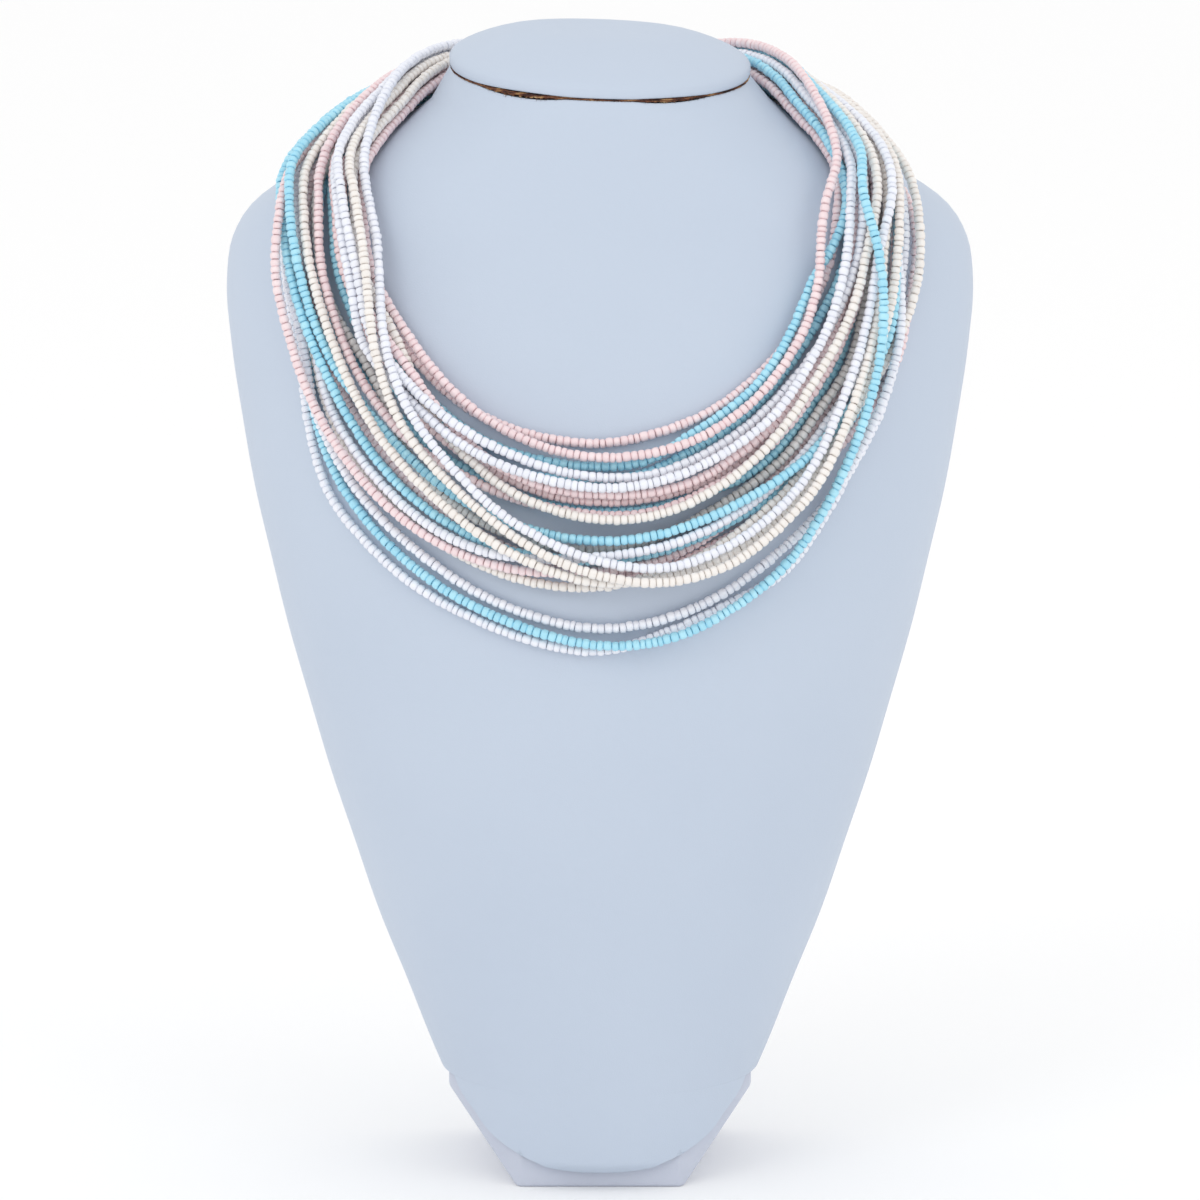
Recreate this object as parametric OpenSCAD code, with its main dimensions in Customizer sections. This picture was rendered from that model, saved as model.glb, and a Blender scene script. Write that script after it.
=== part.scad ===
// Multi strand seed bead necklace on a plain padded neck bust.
// The origin is the centre of the foot's base, +Z is up and the chest faces -Y.
// Each strand is a whole loop that lies on the bust or on the strands laid before it.

/* [Bust] */
// Height of the bust from the floor to the middle of the neck seam
bust_h = 332; // [300:1:370]
// Width across the shoulders
shoulder_w = 224; // [200:1:250]
// How far the chest stands in front of the foot's centre
chest_front = 66; // [56:1:76]
// How far the back stands behind the foot's centre
back_depth = 48; // [42:1:56]
// Forward lean of the neck seam, in degrees
neck_lean = 7; // [0:0.5:12]
// Sideways tilt of the neck seam, in degrees
neck_tilt = 2; // [0:0.5:4]
// Height of the padded cap's dome on the neck
cap_t = 12; // [8:0.5:14]
// How far the cap's rounded edge stands past the neck
cap_overhang = 0.2; // [0:0.1:1]
// Thickness of the board that shows in the torn seam under the cap
board_t = 1.2; // [0.8:0.1:3]
// How far the board's edge lies inside the neck
board_inset = 0.6; // [0.3:0.1:2]
// Gap between pieces that rest on each other
seam_gap = 0.2; // [0.1:0.05:0.4]

/* [Foot] */
// Width of the foot where it meets the body
foot_w = 91; // [80:1:100]
// Width of the foot's face on the floor
foot_floor_w = 50; // [40:1:70]
// Height from the floor to the foot's widest line
foot_flare_h = 26; // [18:1:28]
// Height of the foot under the body
foot_h = 30; // [29:1:36]
// How far the foot's face stands in front of the origin
foot_front = 37; // [30:1:40]
// How far the foot stands behind the origin
foot_back = 37; // [30:1:40]
// Width of the foot's front face between its cut corners
foot_face_w = 48; // [40:1:60]
// How far back the foot's front corners are cut
foot_corner = 22; // [16:1:26]

/* [Necklace] */
// Diameter of a seed bead, and so of a strand
bead_d = 3; // [2.6:0.1:3.2]
// Gap between strands that lie on each other
strand_gap = 0.25; // [0.1:0.05:0.4]
// Gap between the bust and a strand that lies on it
seat_gap = 0.6; // [0.4:0.1:1]
// Width of the plain clasp bar at the nape, across the strands' ends
clasp_w = 9; // [7:0.5:14]
// How far the clasp bar stands past the strands' ends on all sides
clasp_wall = 1.2; // [0.8:0.1:2]
// Gap between a strand's end and the clasp's face
end_gap = 0.3; // [0.2:0.05:0.5]

/* [Hidden] */
facets = 32;
strand_sides = 8;

// Sections of the bust. Each row: height as a share of bust_h, half width as a share of half
// of shoulder_w, front as a share of chest_front, then the height of the widest line behind
// the origin and the back, both as shares of back_depth.
SECTIONS = [
  [0.090, 0.43, 0.712, 0.10, 0.81],
  [0.105, 0.45, 0.727, 0.125, 0.81],
  [0.169, 0.526, 0.788, 0.19, 0.85],
  [0.232, 0.602, 0.848, 0.23, 0.875],
  [0.295, 0.665, 0.909, 0.27, 0.896],
  [0.361, 0.730, 0.955, 0.29, 0.917],
  [0.425, 0.785, 0.985, 0.31, 0.938],
  [0.488, 0.838, 1, 0.33, 0.958],
  [0.554, 0.885, 1, 0.354, 0.979],
  [0.617, 0.928, 0.97, 0.375, 1],
  [0.681, 0.961, 0.909, 0.396, 1],
  [0.747, 0.989, 0.818, 0.417, 1],
  [0.807, 1, 0.727, 0.438, 1],
  [0.843, 0.982, 0.674, 0.438, 0.99],
  [0.873, 0.924, 0.636, 0.438, 0.98],
  [0.901, 0.803, 0.598, 0.417, 0.958],
  [0.928, 0.652, 0.561, 0.375, 0.917],
  [0.955, 0.502, 0.530, 0.3, 0.875],
  [0.982, 0.414, 0.508, 0.2, 0.833],
  [1.012, 0.387, 0.5, 0.14, 0.813],
  [1.054, 0.38, 0.5, 0.12, 0.79]
];
// How square the sections are in front of the widest line, and behind it by height
front_power = 2.2;
BACK_POWERS = [[0.843 * bust_h, 3.2], [0.97 * bust_h, 2.1]];

// The body's rounded tongue hangs in front of the foot. Each row: height as a share of the
// body's underside, half width as a share of half foot_w.
TONGUE = [[0.17, 0.1], [0.2, 0.27], [0.27, 0.42], [0.37, 0.57], [0.55, 0.74], [0.7, 0.82], [0.87, 0.92],
          [1, 0.965]];
// How far the tongue's front lies inside the body's, and how much it leans back going down
tongue_inset = 0.6;
tongue_lean = 0.12;
// Gap between the tongue's back and the foot
tongue_gap = 1.2;

// The strands fan round a line that leans forward from the middle of the chest. A strand's
// height along that line, in mm, is written at these angles round it: 0 is the front, plus
// is to +X.
fan_lean = 45;
fan_y = 0.167 * back_depth;
fan_z = 0.768 * bust_h;
ANGLES = [for (a = [-100:10:100]) a];
// Each row: colour, order in the heap at the left end and at the right end, heights.
STRANDS = [
  ["white", 7, 9.2, [38, 37, 30, 22.5, 11.5, 2.5, -0.7, -3.4, -5, -7.1, -8.6, -5.3, -2.4, -0.8, 5.5, 11.7,
    16.9, 24.6, 34, 41, 43.2]],
  ["blue", 8, 30, [39.5, 39.5, 32, 24.5, 14.2, 7.2, 3.1, 0, -2.6, -5, -7.4, -7.1, -3.8, 0.3, 7.4, 15.4,
    23.6, 33, 43, 50.5, 51]],
  ["white", 8.5, 10, [41.5, 41, 34, 27, 16.6, 10.4, 6.2, 3.3, 0.3, -2.2, -3.9, -2.7, 0, 3.7, 7.2, 12.8,
    19.5, 27.4, 36.8, 44.2, 45.4]],
  ["pink", 9.5, 5, [42, 41, 32, 24, 17, 12.6, 9.4, 7.2, 6, 6.2, 7.6, 8.4, 11.4, 15.6, 19.7, 23.4, 27, 31,
    35.6, 42.8, 44.4]],
  ["cream", 7.5, 9.5, [42.2, 41.8, 35, 27.5, 19, 13.8, 10.5, 8.2, 6.5, 5.1, 4.8, 6.6, 9.3, 13, 16.6, 19.2,
    21.8, 25.8, 32.2, 39.4, 41.7]],
  ["white", 8.7, 9, [42, 41.8, 34.5, 28, 19.9, 15, 11.9, 9.5, 8.4, 8.7, 9.8, 10.9, 13, 15.5, 18.4, 22, 26,
    31.6, 39.2, 45.1, 46.2]],
  ["pink", 6, 3.5, [42.5, 41.8, 35.5, 29.5, 23.2, 20, 16.6, 13.6, 11.4, 9, 7.4, 7.7, 10.3, 12.3, 14.2, 17,
    19.4, 22.6, 30.3, 36.4, 39.2]],
  ["blue", 9, 8, [41.3, 40.6, 34.5, 28.4, 23.1, 18.2, 14.3, 11.5, 9.4, 8.6, 8.6, 9.8, 12.4, 14.2, 16,
    18.4, 21.6, 26.4, 34.4, 41.4, 43.6]],
  ["blue", 13, 14, [41.9, 41.2, 36, 29.9, 25.2, 22.8, 19.8, 17, 15, 13.4, 12.4, 12.7, 14, 15.7, 17.3,
    19.8, 22.6, 28.2, 37.4, 44.6, 45.7]],
  ["cream", 18, 15.5, [43.6, 43, 37, 31.6, 26.5, 22, 18.1, 14.9, 11.2, 8, 5.3, 5.6, 6.6, 9.7, 14, 18.6,
    24, 30.3, 38, 44.8, 45.9]],
  ["grey cream", 5, 6, [45.1, 44.2, 38.5, 33.6, 31, 26.5, 20, 15.6, 12.6, 11.2, 11, 12.6, 15.7, 18.2,
    20.9, 25.2, 28.6, 35.4, 42.2, 46, 47]],
  ["pink", 16, 5.5, [47.3, 46.3, 40, 34.1, 29, 24.9, 21.9, 20.6, 19.2, 18.2, 17.2, 17.3, 19.3, 21.5, 24.5,
    28, 32, 36.6, 42.8, 46.9, 48.1]],
  ["blue", 4, 4, [44.6, 43.6, 38, 32.5, 29, 26.3, 23.6, 21.9, 20, 18.6, 18, 18.2, 19.5, 19.8, 22.5, 26.5,
    30, 36.2, 42.5, 46.6, 47.8]],
  ["blue", 3, 3, [49, 48.2, 42.5, 37.2, 32.4, 29.3, 27.4, 25.7, 23.3, 23.2, 23.2, 24, 26.3, 28.2, 30.5,
    33.7, 37.2, 40.8, 44.8, 49.8, 50.4]],
  ["white", 15.5, 13, [50.5, 50, 45.4, 40, 33, 30.2, 27.6, 25.2, 23.6, 22.4, 21.5, 21.9, 23.2, 25.1, 27.2,
    31, 34.8, 40, 45.6, 50.5, 51]],
  ["white", 17, 12, [50.9, 50.4, 46.2, 40.8, 34, 31.5, 29.2, 27.1, 25.6, 24.1, 23.2, 23.2, 24.6, 26.4,
    28.6, 31.2, 34.4, 38.7, 43.6, 49, 49.8]],
  ["blue", 1, 6, [49.8, 49.4, 44, 39.4, 35.5, 32, 29.5, 27.3, 26, 25.4, 25, 25.2, 28.3, 30.4, 32.5, 36,
    40, 44.5, 47.6, 50.6, 52.4]],
  ["cream", 14, 15, [51, 50.6, 45.9, 41.2, 37.8, 33.4, 28.4, 24.4, 20.6, 17.9, 16.4, 16.5, 18.5, 21.2,
    24.7, 28.9, 32.6, 37.3, 43.2, 47.5, 48.7]],
  ["pink", 11, 5.3, [49.6, 49.2, 43.6, 38.8, 34, 29.8, 26.7, 24.2, 22.2, 20.3, 19.4, 19.5, 20.2, 22.1, 25,
    28.6, 32, 36.9, 43, 47.2, 48.4]],
  ["pink", 15.4, 7.5, [50.1, 49.9, 44.6, 40.2, 36.3, 32.8, 29, 25.5, 22.8, 21, 20.6, 20.4, 21.3, 23.7, 26,
    29.5, 33.2, 37.9, 43.4, 47.9, 49.1]],
  ["cream", 23, 17, [51.8, 51.5, 47.2, 41.7, 35.5, 28.8, 22.8, 18.7, 14.5, 10, 6.2, 4.1, 4.7, 8.1, 12.5,
    19.4, 25.8, 32.6, 40.2, 45.4, 46.5]],
  ["pink", 2, 2, [50.3, 50.1, 44.9, 40.5, 37.3, 34.6, 32.2, 30.6, 29.6, 28.9, 28.7, 29.4, 30.4, 31.7,
    33.6, 36, 38.6, 42.4, 46.8, 51.2, 51.6]],
  ["pink", 3, 19, [51.4, 51, 46.4, 42, 38.9, 35.8, 33.1, 30.5, 28.7, 27.2, 26.4, 26.6, 27.4, 29.1, 31.4,
    34.6, 38.3, 43.4, 49.4, 53.4, 53.4]],
  ["white", 24, 24, [53.7, 52.9, 49.4, 43.9, 37.4, 31.2, 25.6, 21.2, 16.5, 12.5, 9.1, 7, 8.2, 11, 15.4,
    22, 28, 34.7, 41.8, 45.7, 46.8]]
];
// Height of the lowest strand at the nape, and the step from one strand to the next, where
// the table's heights run on behind the neck
nape_low = 9;
nape_step = 1.15;

strand_count = len(STRANDS);
function strand_name(k) = str("strand_", k < 9 ? "0" : "", k + 1);

BEAD_COLOURS = [
  ["white", [0.93, 0.94, 0.97]], ["blue", [0.53, 0.81, 0.93]], ["pink", [0.93, 0.80, 0.80]],
  ["cream", [0.92, 0.89, 0.86]], ["grey cream", [0.80, 0.78, 0.75]]
];
function bead_colour(name) = [for (row = BEAD_COLOURS) if (row[0] == name) row[1]][0];

// Smooth sections between the rows, sampled finely
function slope(t, i, c) =
  i == 0 ? (t[1][c] - t[0][c]) / (t[1][0] - t[0][0])
  : i == len(t) - 1 ? (t[i][c] - t[i - 1][c]) / (t[i][0] - t[i - 1][0])
  : let(a = t[i][0] - t[i - 1][0], b = t[i + 1][0] - t[i][0])
    ((t[i][c] - t[i - 1][c]) / a * b + (t[i + 1][c] - t[i][c]) / b * a) / (a + b);
function hermite(t, i, c, u) =
  let(h = t[i + 1][0] - t[i][0])
  (2 * u * u * u - 3 * u * u + 1) * t[i][c] + (u * u * u - 2 * u * u + u) * h * slope(t, i, c)
  + (3 * u * u - 2 * u * u * u) * t[i + 1][c] + (u * u * u - u * u) * h * slope(t, i + 1, c);
fine_steps = 4;
last_row = len(SECTIONS) - 1;
function fine(c, size) = concat(
  [for (i = [0:last_row - 1], s = [0:fine_steps - 1])
    let(u = s / fine_steps)
    [bust_h * (SECTIONS[i][0] + u * (SECTIONS[i + 1][0] - SECTIONS[i][0])),
     size * hermite(SECTIONS, i, c, u)]],
  [[bust_h * SECTIONS[last_row][0], size * SECTIONS[last_row][c]]]);
HALF_W = fine(1, shoulder_w / 2);
FRONT = fine(2, chest_front);
SIDE = fine(3, back_depth);
BACK = fine(4, back_depth);

// Point of a section, grown outwards: a is the angle round it, 0 at the front, plus to +X
function oval(a, z, grow = 0) =
  let(side = lookup(z, SIDE), w = lookup(z, HALF_W) + grow, c = cos(a), s = sin(a),
      reach = (c > 0 ? side + lookup(z, FRONT) : lookup(z, BACK) - side) + grow,
      p = c > 0 ? front_power : lookup(z, BACK_POWERS),
      r = 1 / pow(pow(abs(s) / w, p) + pow(abs(c) / reach, p), 1 / p))
  [r * s, side - r * c];
function body_point(a, z) = let(q = oval(a, z)) [q[0], q[1], z];

// How deep a point lies in the bust: below 1 inside, 1 on its surface
function depth_at(p) =
  let(side = lookup(p[2], SIDE), front = p[1] < side,
      reach = front ? side + lookup(p[2], FRONT) : lookup(p[2], BACK) - side,
      n = front ? front_power : lookup(p[2], BACK_POWERS))
  pow(pow(abs(p[0]) / lookup(p[2], HALF_W), n) + pow(abs(p[1] - side) / reach, n), 1 / n);

// The fan: a half plane at angle a holds points by height h along the line and reach r from it
function fan_point(a, h, r) =
  [r * sin(a), fan_y - (h + r * cos(a)) * sin(fan_lean), fan_z + (h - r * cos(a)) * cos(fan_lean)];
reach_min = 15;
reach_max = 190;
function surface_reach(a, h, lo = reach_min, hi = reach_max, n = 12) =
  let(mid = (lo + hi) / 2)
  n == 0 ? mid
  : depth_at(fan_point(a, h, mid)) < 1 ? surface_reach(a, h, mid, hi, n - 1)
  : surface_reach(a, h, lo, mid, n - 1);

// Angles at which the strands are laid, and the bust's profile in each half plane
BACK_ANGLES = [112, 125, 137, 149, 163, 180];
// Extra gap by angle, where straight runs of strand would cut the shoulder or the neck
CORNER_GAPS = [[70, 0], [80, 0.4], [90, 0.9], [100, 0.9], [112, 0.5], [137, 0.7], [149, 1.3], [163, 1.3],
               [180, 0.2]];
HALF_ANGLES = concat([for (a = [0:10:100]) a], BACK_ANGLES);
PROFILES = [for (a = HALF_ANGLES) [for (h = [-16:4:64]) [h, surface_reach(a, h)]]];
half_count = len(HALF_ANGLES);
station_count = 2 * half_count - 1;
middle = half_count - 1;
function station_angle(i) = i < middle ? -HALF_ANGLES[middle - i] : HALF_ANGLES[i - middle];
function profile(i) = PROFILES[abs(i - middle)];
function corner_gap(i) = lookup(abs(station_angle(i)), CORNER_GAPS);

// Height of strand k at station i: the table in front, then an even run to the nape, where
// the strands stand in the order they have at the table's end
function ease(t) = t * t * (3 - 2 * t);
function ramp(t, from, to) = ease(min(1, max(0, (t - from) / (to - from))));
last_angle = ANGLES[len(ANGLES) - 1];
last_column = len(ANGLES) - 1;
function below(k, c) =
  len([for (j = [0:strand_count - 1])
    if (STRANDS[j][3][c] < STRANDS[k][3][c] || (STRANDS[j][3][c] == STRANDS[k][3][c] && j < k)) j]);
BELOW = [for (k = [0:strand_count - 1]) [below(k, 0), below(k, last_column)]];
function strand_h(k, i) =
  let(a = station_angle(i), past = (abs(a) - last_angle) / (180 - last_angle),
      row = STRANDS[k][3], end = a < 0 ? row[0] : row[last_column])
  past <= 0 ? row[round((a + last_angle) / 10)]
  : end + (nape_low + nape_step * BELOW[k][a < 0 ? 0 : 1] - end) * ease(past);
HEIGHTS = [for (k = [0:strand_count - 1]) [for (i = [0:station_count - 1]) strand_h(k, i)]];

// Order of strand k in the heap at station i
order_swap = 60;
function heap_order(k, i) =
  STRANDS[k][1] + (STRANDS[k][2] - STRANDS[k][1]) * ramp(station_angle(i), -order_swap, order_swap);
function sorted(rows) =
  len(rows) < 2 ? rows
  : let(pivot = rows[0], rest = [for (j = [1:len(rows) - 1]) rows[j]])
    concat(sorted([for (r = rest) if (r[0] < pivot[0]) r]), [pivot],
           sorted([for (r = rest) if (r[0] >= pivot[0]) r]));

// How much of the sidewise gap between strands k and j at station i is left halfway to the
// stations before and after: 0 where they cross next to it
function gap_left(k, j, i) =
  let(d = HEIGHTS[k][i] - HEIGHTS[j][i],
      before = i > 0 ? HEIGHTS[k][i - 1] - HEIGHTS[j][i - 1] : d,
      after = i < station_count - 1 ? HEIGHTS[k][i + 1] - HEIGHTS[j][i + 1] : d)
  d * before <= 0 || d * after <= 0 ? 0 : min(1, (d + before) / (2 * d), (d + after) / (2 * d));

// Laying: a strand lies on the bust, or is lifted clear of each strand laid before it.
// A laid strand is its number, then its height and reach in the half plane.
pitch = bead_d + strand_gap;
// Heights hold for a strand this far off the bust; a strand that lies lower or higher moves
// along this line of sight in front, and square to the bust behind
read_lift = 3;
sight_rise = 10;
function lift_way(i, out) =
  let(a = station_angle(i), sight = [sin(fan_lean + sight_rise), cos(a) * sin(fan_lean - sight_rise)],
      share = ramp(abs(a), 60, 110), mix = sight / norm(sight) * (1 - share) + out * share)
  mix / norm(mix);
function out_at(p, h) =
  let(m = (lookup(h + 1, p) - lookup(h - 1, p)) / 2) [-m, 1] / sqrt(1 + m * m);
function lift_over(at, way, side, laid, k, i) =
  let(v = [laid[1] - at[0], laid[2] - at[1]], up = v * way, aside = -(v * side),
      order = HEIGHTS[k][i] - HEIGHTS[laid[0]][i],
      over = aside * order <= 0 ? 0 : abs(aside) * gap_left(k, laid[0], i))
  over < pitch ? up + sqrt(pitch * pitch - over * over) : 0;
// Behind this angle a strand may slide sidewise to lie lower in the heap
SLIDES = [0, 1, -1, 2, -2];
slide_angle = 65;
slide_cost = 0.8;
function laid_at(k, i, laid, at, way, side, seat, slide) =
  let(p = profile(i), out = out_at(p, at[0]), gap = (at - [at[0], lookup(at[0], p)]) * out,
      lift = max([0, (seat - gap) / max(0.5, way * out), for (q = laid) lift_over(at, way, side, q, k, i)]))
  [lift + slide_cost * abs(slide), k, at[0] + way[0] * lift, at[1] + way[1] * lift];
function lay(k, i, laid) =
  let(h = HEIGHTS[k][i], p = profile(i), out = out_at(p, h), way = lift_way(i, out),
      turned = [-way[1], way[0]], side = turned * [out[1], -out[0]] < 0 ? -turned : turned,
      seat = seat_at(i),
      from = [h, lookup(h, p)] + out * read_lift + way * (seat - read_lift) / (way * out),
      slides = abs(station_angle(i)) > slide_angle ? SLIDES : [0],
      tries = [for (s = slides) laid_at(k, i, laid, from + side * s, way, side, seat, s)],
      least = min([for (t = tries) t[0]]), best = [for (t = tries) if (t[0] == least) t][0])
  [k, best[2], best[3]];
function laid_all(order, i, n, done) =
  n == len(order) ? done : laid_all(order, i, n + 1, concat(done, [lay(order[n][1], i, done)]));
function heap(i) =
  let(order = sorted([for (k = [0:strand_count - 1]) [heap_order(k, i), k]]),
      laid = laid_all(order, i, 0, []))
  [for (k = [0:strand_count - 1]) [for (q = laid) if (q[0] == k) [q[1], q[2]]][0]];

// Behind the neck the strands lie in layers over each other: columns by height, layers by
// order in the heap
layers = 4;
column_step = 3.35;
layer_step = 2.95;
column_low = 12;
heap_until = 90;
layers_from = 125;
columns_w = column_step * (ceil(strand_count / layers) - 1);
function column(k, side) = floor(BELOW[k][side] / layers);
function layer(k, side) =
  len([for (j = [0:strand_count - 1])
    let(lower = STRANDS[j][1 + side] < STRANDS[k][1 + side],
        same = STRANDS[j][1 + side] == STRANDS[k][1 + side] && BELOW[j][side] < BELOW[k][side])
    if (column(j, side) == column(k, side) && (lower || same)) j]);
PLACES = [for (k = [0:strand_count - 1]) [for (side = [0, 1]) [column(k, side), layer(k, side)]]];
function seat_at(i) = bead_d / 2 + seat_gap + corner_gap(i);
END_MIDDLES = [for (c = [0, last_column])
  [for (row = STRANDS) 1] * [for (row = STRANDS) row[3][c]] / strand_count];
function layered(i) =
  let(side = i < middle ? 0 : 1, p = profile(i), t = ramp(abs(station_angle(i)), last_angle, 180),
      base = (END_MIDDLES[side] - columns_w / 2) * (1 - t) + column_low * t, mid = base + columns_w / 2,
      m = (lookup(mid + 6, p) - lookup(mid - 6, p)) / 12, out = [-m, 1] / sqrt(1 + m * m),
      at = [mid, lookup(mid, p)], reach = columns_w / 2 + 2,
      rise = max([for (s = [-7:7]) let(x = mid + reach * s / 7) ([x, lookup(x, p)] - at) * out]))
  [for (k = [0:strand_count - 1])
    let(place = PLACES[k][side], shift = place[1] % 2 == 1 ? column_step / 2 : 0,
        h = base + place[0] * column_step + shift)
    at + [out[1], -out[0]] * (h - mid) + out * (seat_at(i) + rise + place[1] * layer_step)];
FIRST_SPOTS = [for (i = [0:station_count - 1])
  let(a = abs(station_angle(i)), share = ramp(a, heap_until, layers_from))
  share == 0 ? heap(i) : share == 1 ? layered(i) : heap(i) * (1 - share) + layered(i) * share];

// Rounds that draw each strand's run even and push strands apart that come too near each
// other, at the stations and halfway between them
rounds = 20;
hard_rounds = 4;
near_d = 1.133 * bead_d;
push_share = 0.4;
push_most = 1;
even_share = 0.3;
even_until = 112;
LINES = [for (i = [0:station_count - 1])
  [for (k = [0:strand_count - 1]) [HEIGHTS[k][i], lookup(HEIGHTS[k][i], profile(i))]]];
function summed(vectors) = [for (v = vectors) 1] * vectors;
function push_on(p, spots) =
  summed(concat([[0, 0]], [for (q = spots)
    let(v = p - q, d = v * v)
    if (d > 0 && d < near_d * near_d) v * push_share * (near_d / sqrt(d) - 1)]));
function pushes(spots) = [for (p = spots) push_on(p, spots)];
function limited(v) = v * min(1, push_most / max(norm(v), 0.001));
function seated(p, i) =
  let(out = out_at(profile(i), p[0]), gap = (p[1] - lookup(p[0], profile(i))) * out[1])
  p + out * max(0, seat_at(i) - gap);
function evened(spots, i) =
  abs(station_angle(i)) > even_until ? spots[i]
  : let(off = spots[i] - LINES[i], before = spots[i - 1] - LINES[i - 1], after = spots[i + 1] - LINES[i + 1])
    spots[i] + even_share * ((before + after) / 2 - off);
function settled(spots, n) =
  n == 0 ? spots
  : let(last = station_count - 1,
        soft = n > hard_rounds ? [for (i = [0:last]) evened(spots, i)] : spots,
        here = [for (row = soft) pushes(row)],
        between = [for (i = [0:last - 1]) pushes((soft[i] + soft[i + 1]) / 2)],
        moved = [for (i = [0:last])
          let(push = i == 0 ? here[i] + between[i] : i == last ? here[i] + between[i - 1]
                     : here[i] + between[i - 1] + between[i])
          [for (k = [0:strand_count - 1]) seated(soft[i][k] + limited(push[k]), i)]])
    settled(moved, n - 1);
SPOTS = settled(FIRST_SPOTS, rounds);
function spot(k, i) = fan_point(station_angle(i), SPOTS[i][k][0], SPOTS[i][k][1]);
function strand_path(k) =
  let(x = clasp_w / 2 + end_gap)
  concat([spot(k, 0) - [x, 0, 0]], [for (i = [1:station_count - 2]) spot(k, i)],
         [spot(k, station_count - 1) + [x, 0, 0]]);

// A tube swept along a path of points
function unit(v) = v / norm(v);
function ring_at(path, i, r, sides) =
  let(n = len(path), t = unit(path[min(i + 1, n - 1)] - path[max(i - 1, 0)]),
      flat = i == 0 || i == n - 1, along = flat ? [-1, 0, 0] : t,
      away = path[i] - [0, fan_y, fan_z], up = unit(away - (away * along) * along), across = cross(along, up))
  [for (s = [0:sides - 1]) path[i] + r * (cos(360 * s / sides) * up + sin(360 * s / sides) * across)];
module tube(path, r, sides) {
  n = len(path);
  polyhedron(
    points = [for (i = [0:n - 1]) each ring_at(path, i, r, sides)],
    faces = concat(
      [[for (s = [0:sides - 1]) s]],
      [for (i = [0:n - 2], s = [0:sides - 1])
        let(a = i * sides + s, b = i * sides + (s + 1) % sides) [a, a + sides, b + sides, b]],
      [[for (s = [sides - 1:-1:0]) (n - 1) * sides + s]]));
}

// A closed skin through rings of points, each ring in the same order
module skin(rings) {
  n = len(rings);
  m = len(rings[0]);
  polyhedron(
    points = [for (ring = rings) each ring],
    faces = concat(
      [[for (s = [0:m - 1]) s]],
      [for (i = [0:n - 2], s = [0:m - 1])
        let(a = i * m + s, b = i * m + (s + 1) % m) [a, a + m, b + m, b]],
      [[for (s = [m - 1:-1:0]) (n - 1) * m + s]]));
}

// The neck seam's plane, and a point of the neck's outline on it
seam_h = 0.9937 * bust_h;
function seam_z(x, y) = seam_h + y * tan(neck_lean) - x * tan(neck_tilt);
function seam_point(a, grow, up) = let(q = oval(a, seam_h, grow)) [q[0], q[1], seam_z(q[0], q[1]) + up];

// The tongue's front follows the body's front, its back the foot's face and cut corners
underside = foot_h + seam_gap;
function body_front(x) =
  let(w = lookup(underside, HALF_W), side = lookup(underside, SIDE), reach = side + lookup(underside, FRONT))
  side - reach * pow(1 - pow(abs(x) / w, front_power), 1 / front_power);
function foot_face(x) =
  -foot_front + max(0, abs(x) - foot_face_w / 2) * foot_corner / ((foot_w - foot_face_w) / 2);
function tongue_point(a, row) =
  let(x = sin(a) * row[1] * foot_w / 2, z = row[0] * underside)
  cos(a) > -0.01 ? [x, body_front(x) + tongue_inset + (underside - z) * tongue_lean, z]
  : [x, foot_face(x) - tongue_gap, z];

module bust_body() {
  levels = [for (i = [1:last_row - 3]) SECTIONS[i][0], 0.937, 0.954, 0.969];
  color([0.80, 0.84, 0.90])
    skin(concat(
      [for (row = TONGUE) [for (s = [0:facets - 1]) tongue_point(-360 * s / facets, row)]],
      [[for (s = [0:facets - 1]) body_point(-360 * s / facets, underside)]],
      [for (share = levels) [for (s = [0:facets - 1]) body_point(-360 * s / facets, share * bust_h)]],
      [[for (s = [0:facets - 1]) seam_point(-360 * s / facets, 0, -board_t / 2 - seam_gap)]]));
}

module cap_board() {
  color([0.55, 0.42, 0.30])
    skin([for (up = [-board_t / 2, board_t / 2])
      [for (s = [0:facets - 1]) seam_point(-360 * s / facets, -board_inset, up)]]);
}

module neck_cap() {
  // Each row: how far the edge grows past the neck, and its height as a share of the cap's
  edge = [[-board_inset, 0], [cap_overhang, 0.08], [cap_overhang, 0.2], [-1, 0.3], [-3.4, 0.42], [-9, 0.62],
          [-16, 0.84], [-22, 1]];
  color([0.82, 0.86, 0.92])
    skin([for (row = edge)
      let(up = board_t / 2 + seam_gap + row[1] * cap_t)
      [for (s = [0:facets - 1]) seam_point(-360 * s / facets, row[0], up)]]);
}

module bust_foot() {
  half = foot_w / 2;
  face_half = foot_face_w / 2;
  floor_half = foot_floor_w / 2;
  color([0.86, 0.89, 0.94])
    intersection() {
      translate([0, foot_back, 0])
        rotate([90, 0, 0])
          linear_extrude(foot_front + foot_back)
            polygon([[-floor_half, 0], [floor_half, 0], [half, foot_flare_h], [half, foot_h],
                     [-half, foot_h], [-half, foot_flare_h]]);
      linear_extrude(foot_h)
        polygon([[-face_half, -foot_front], [face_half, -foot_front], [half, foot_corner - foot_front],
                 [half, foot_back], [-half, foot_back], [-half, foot_corner - foot_front]]);
    }
}

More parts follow.
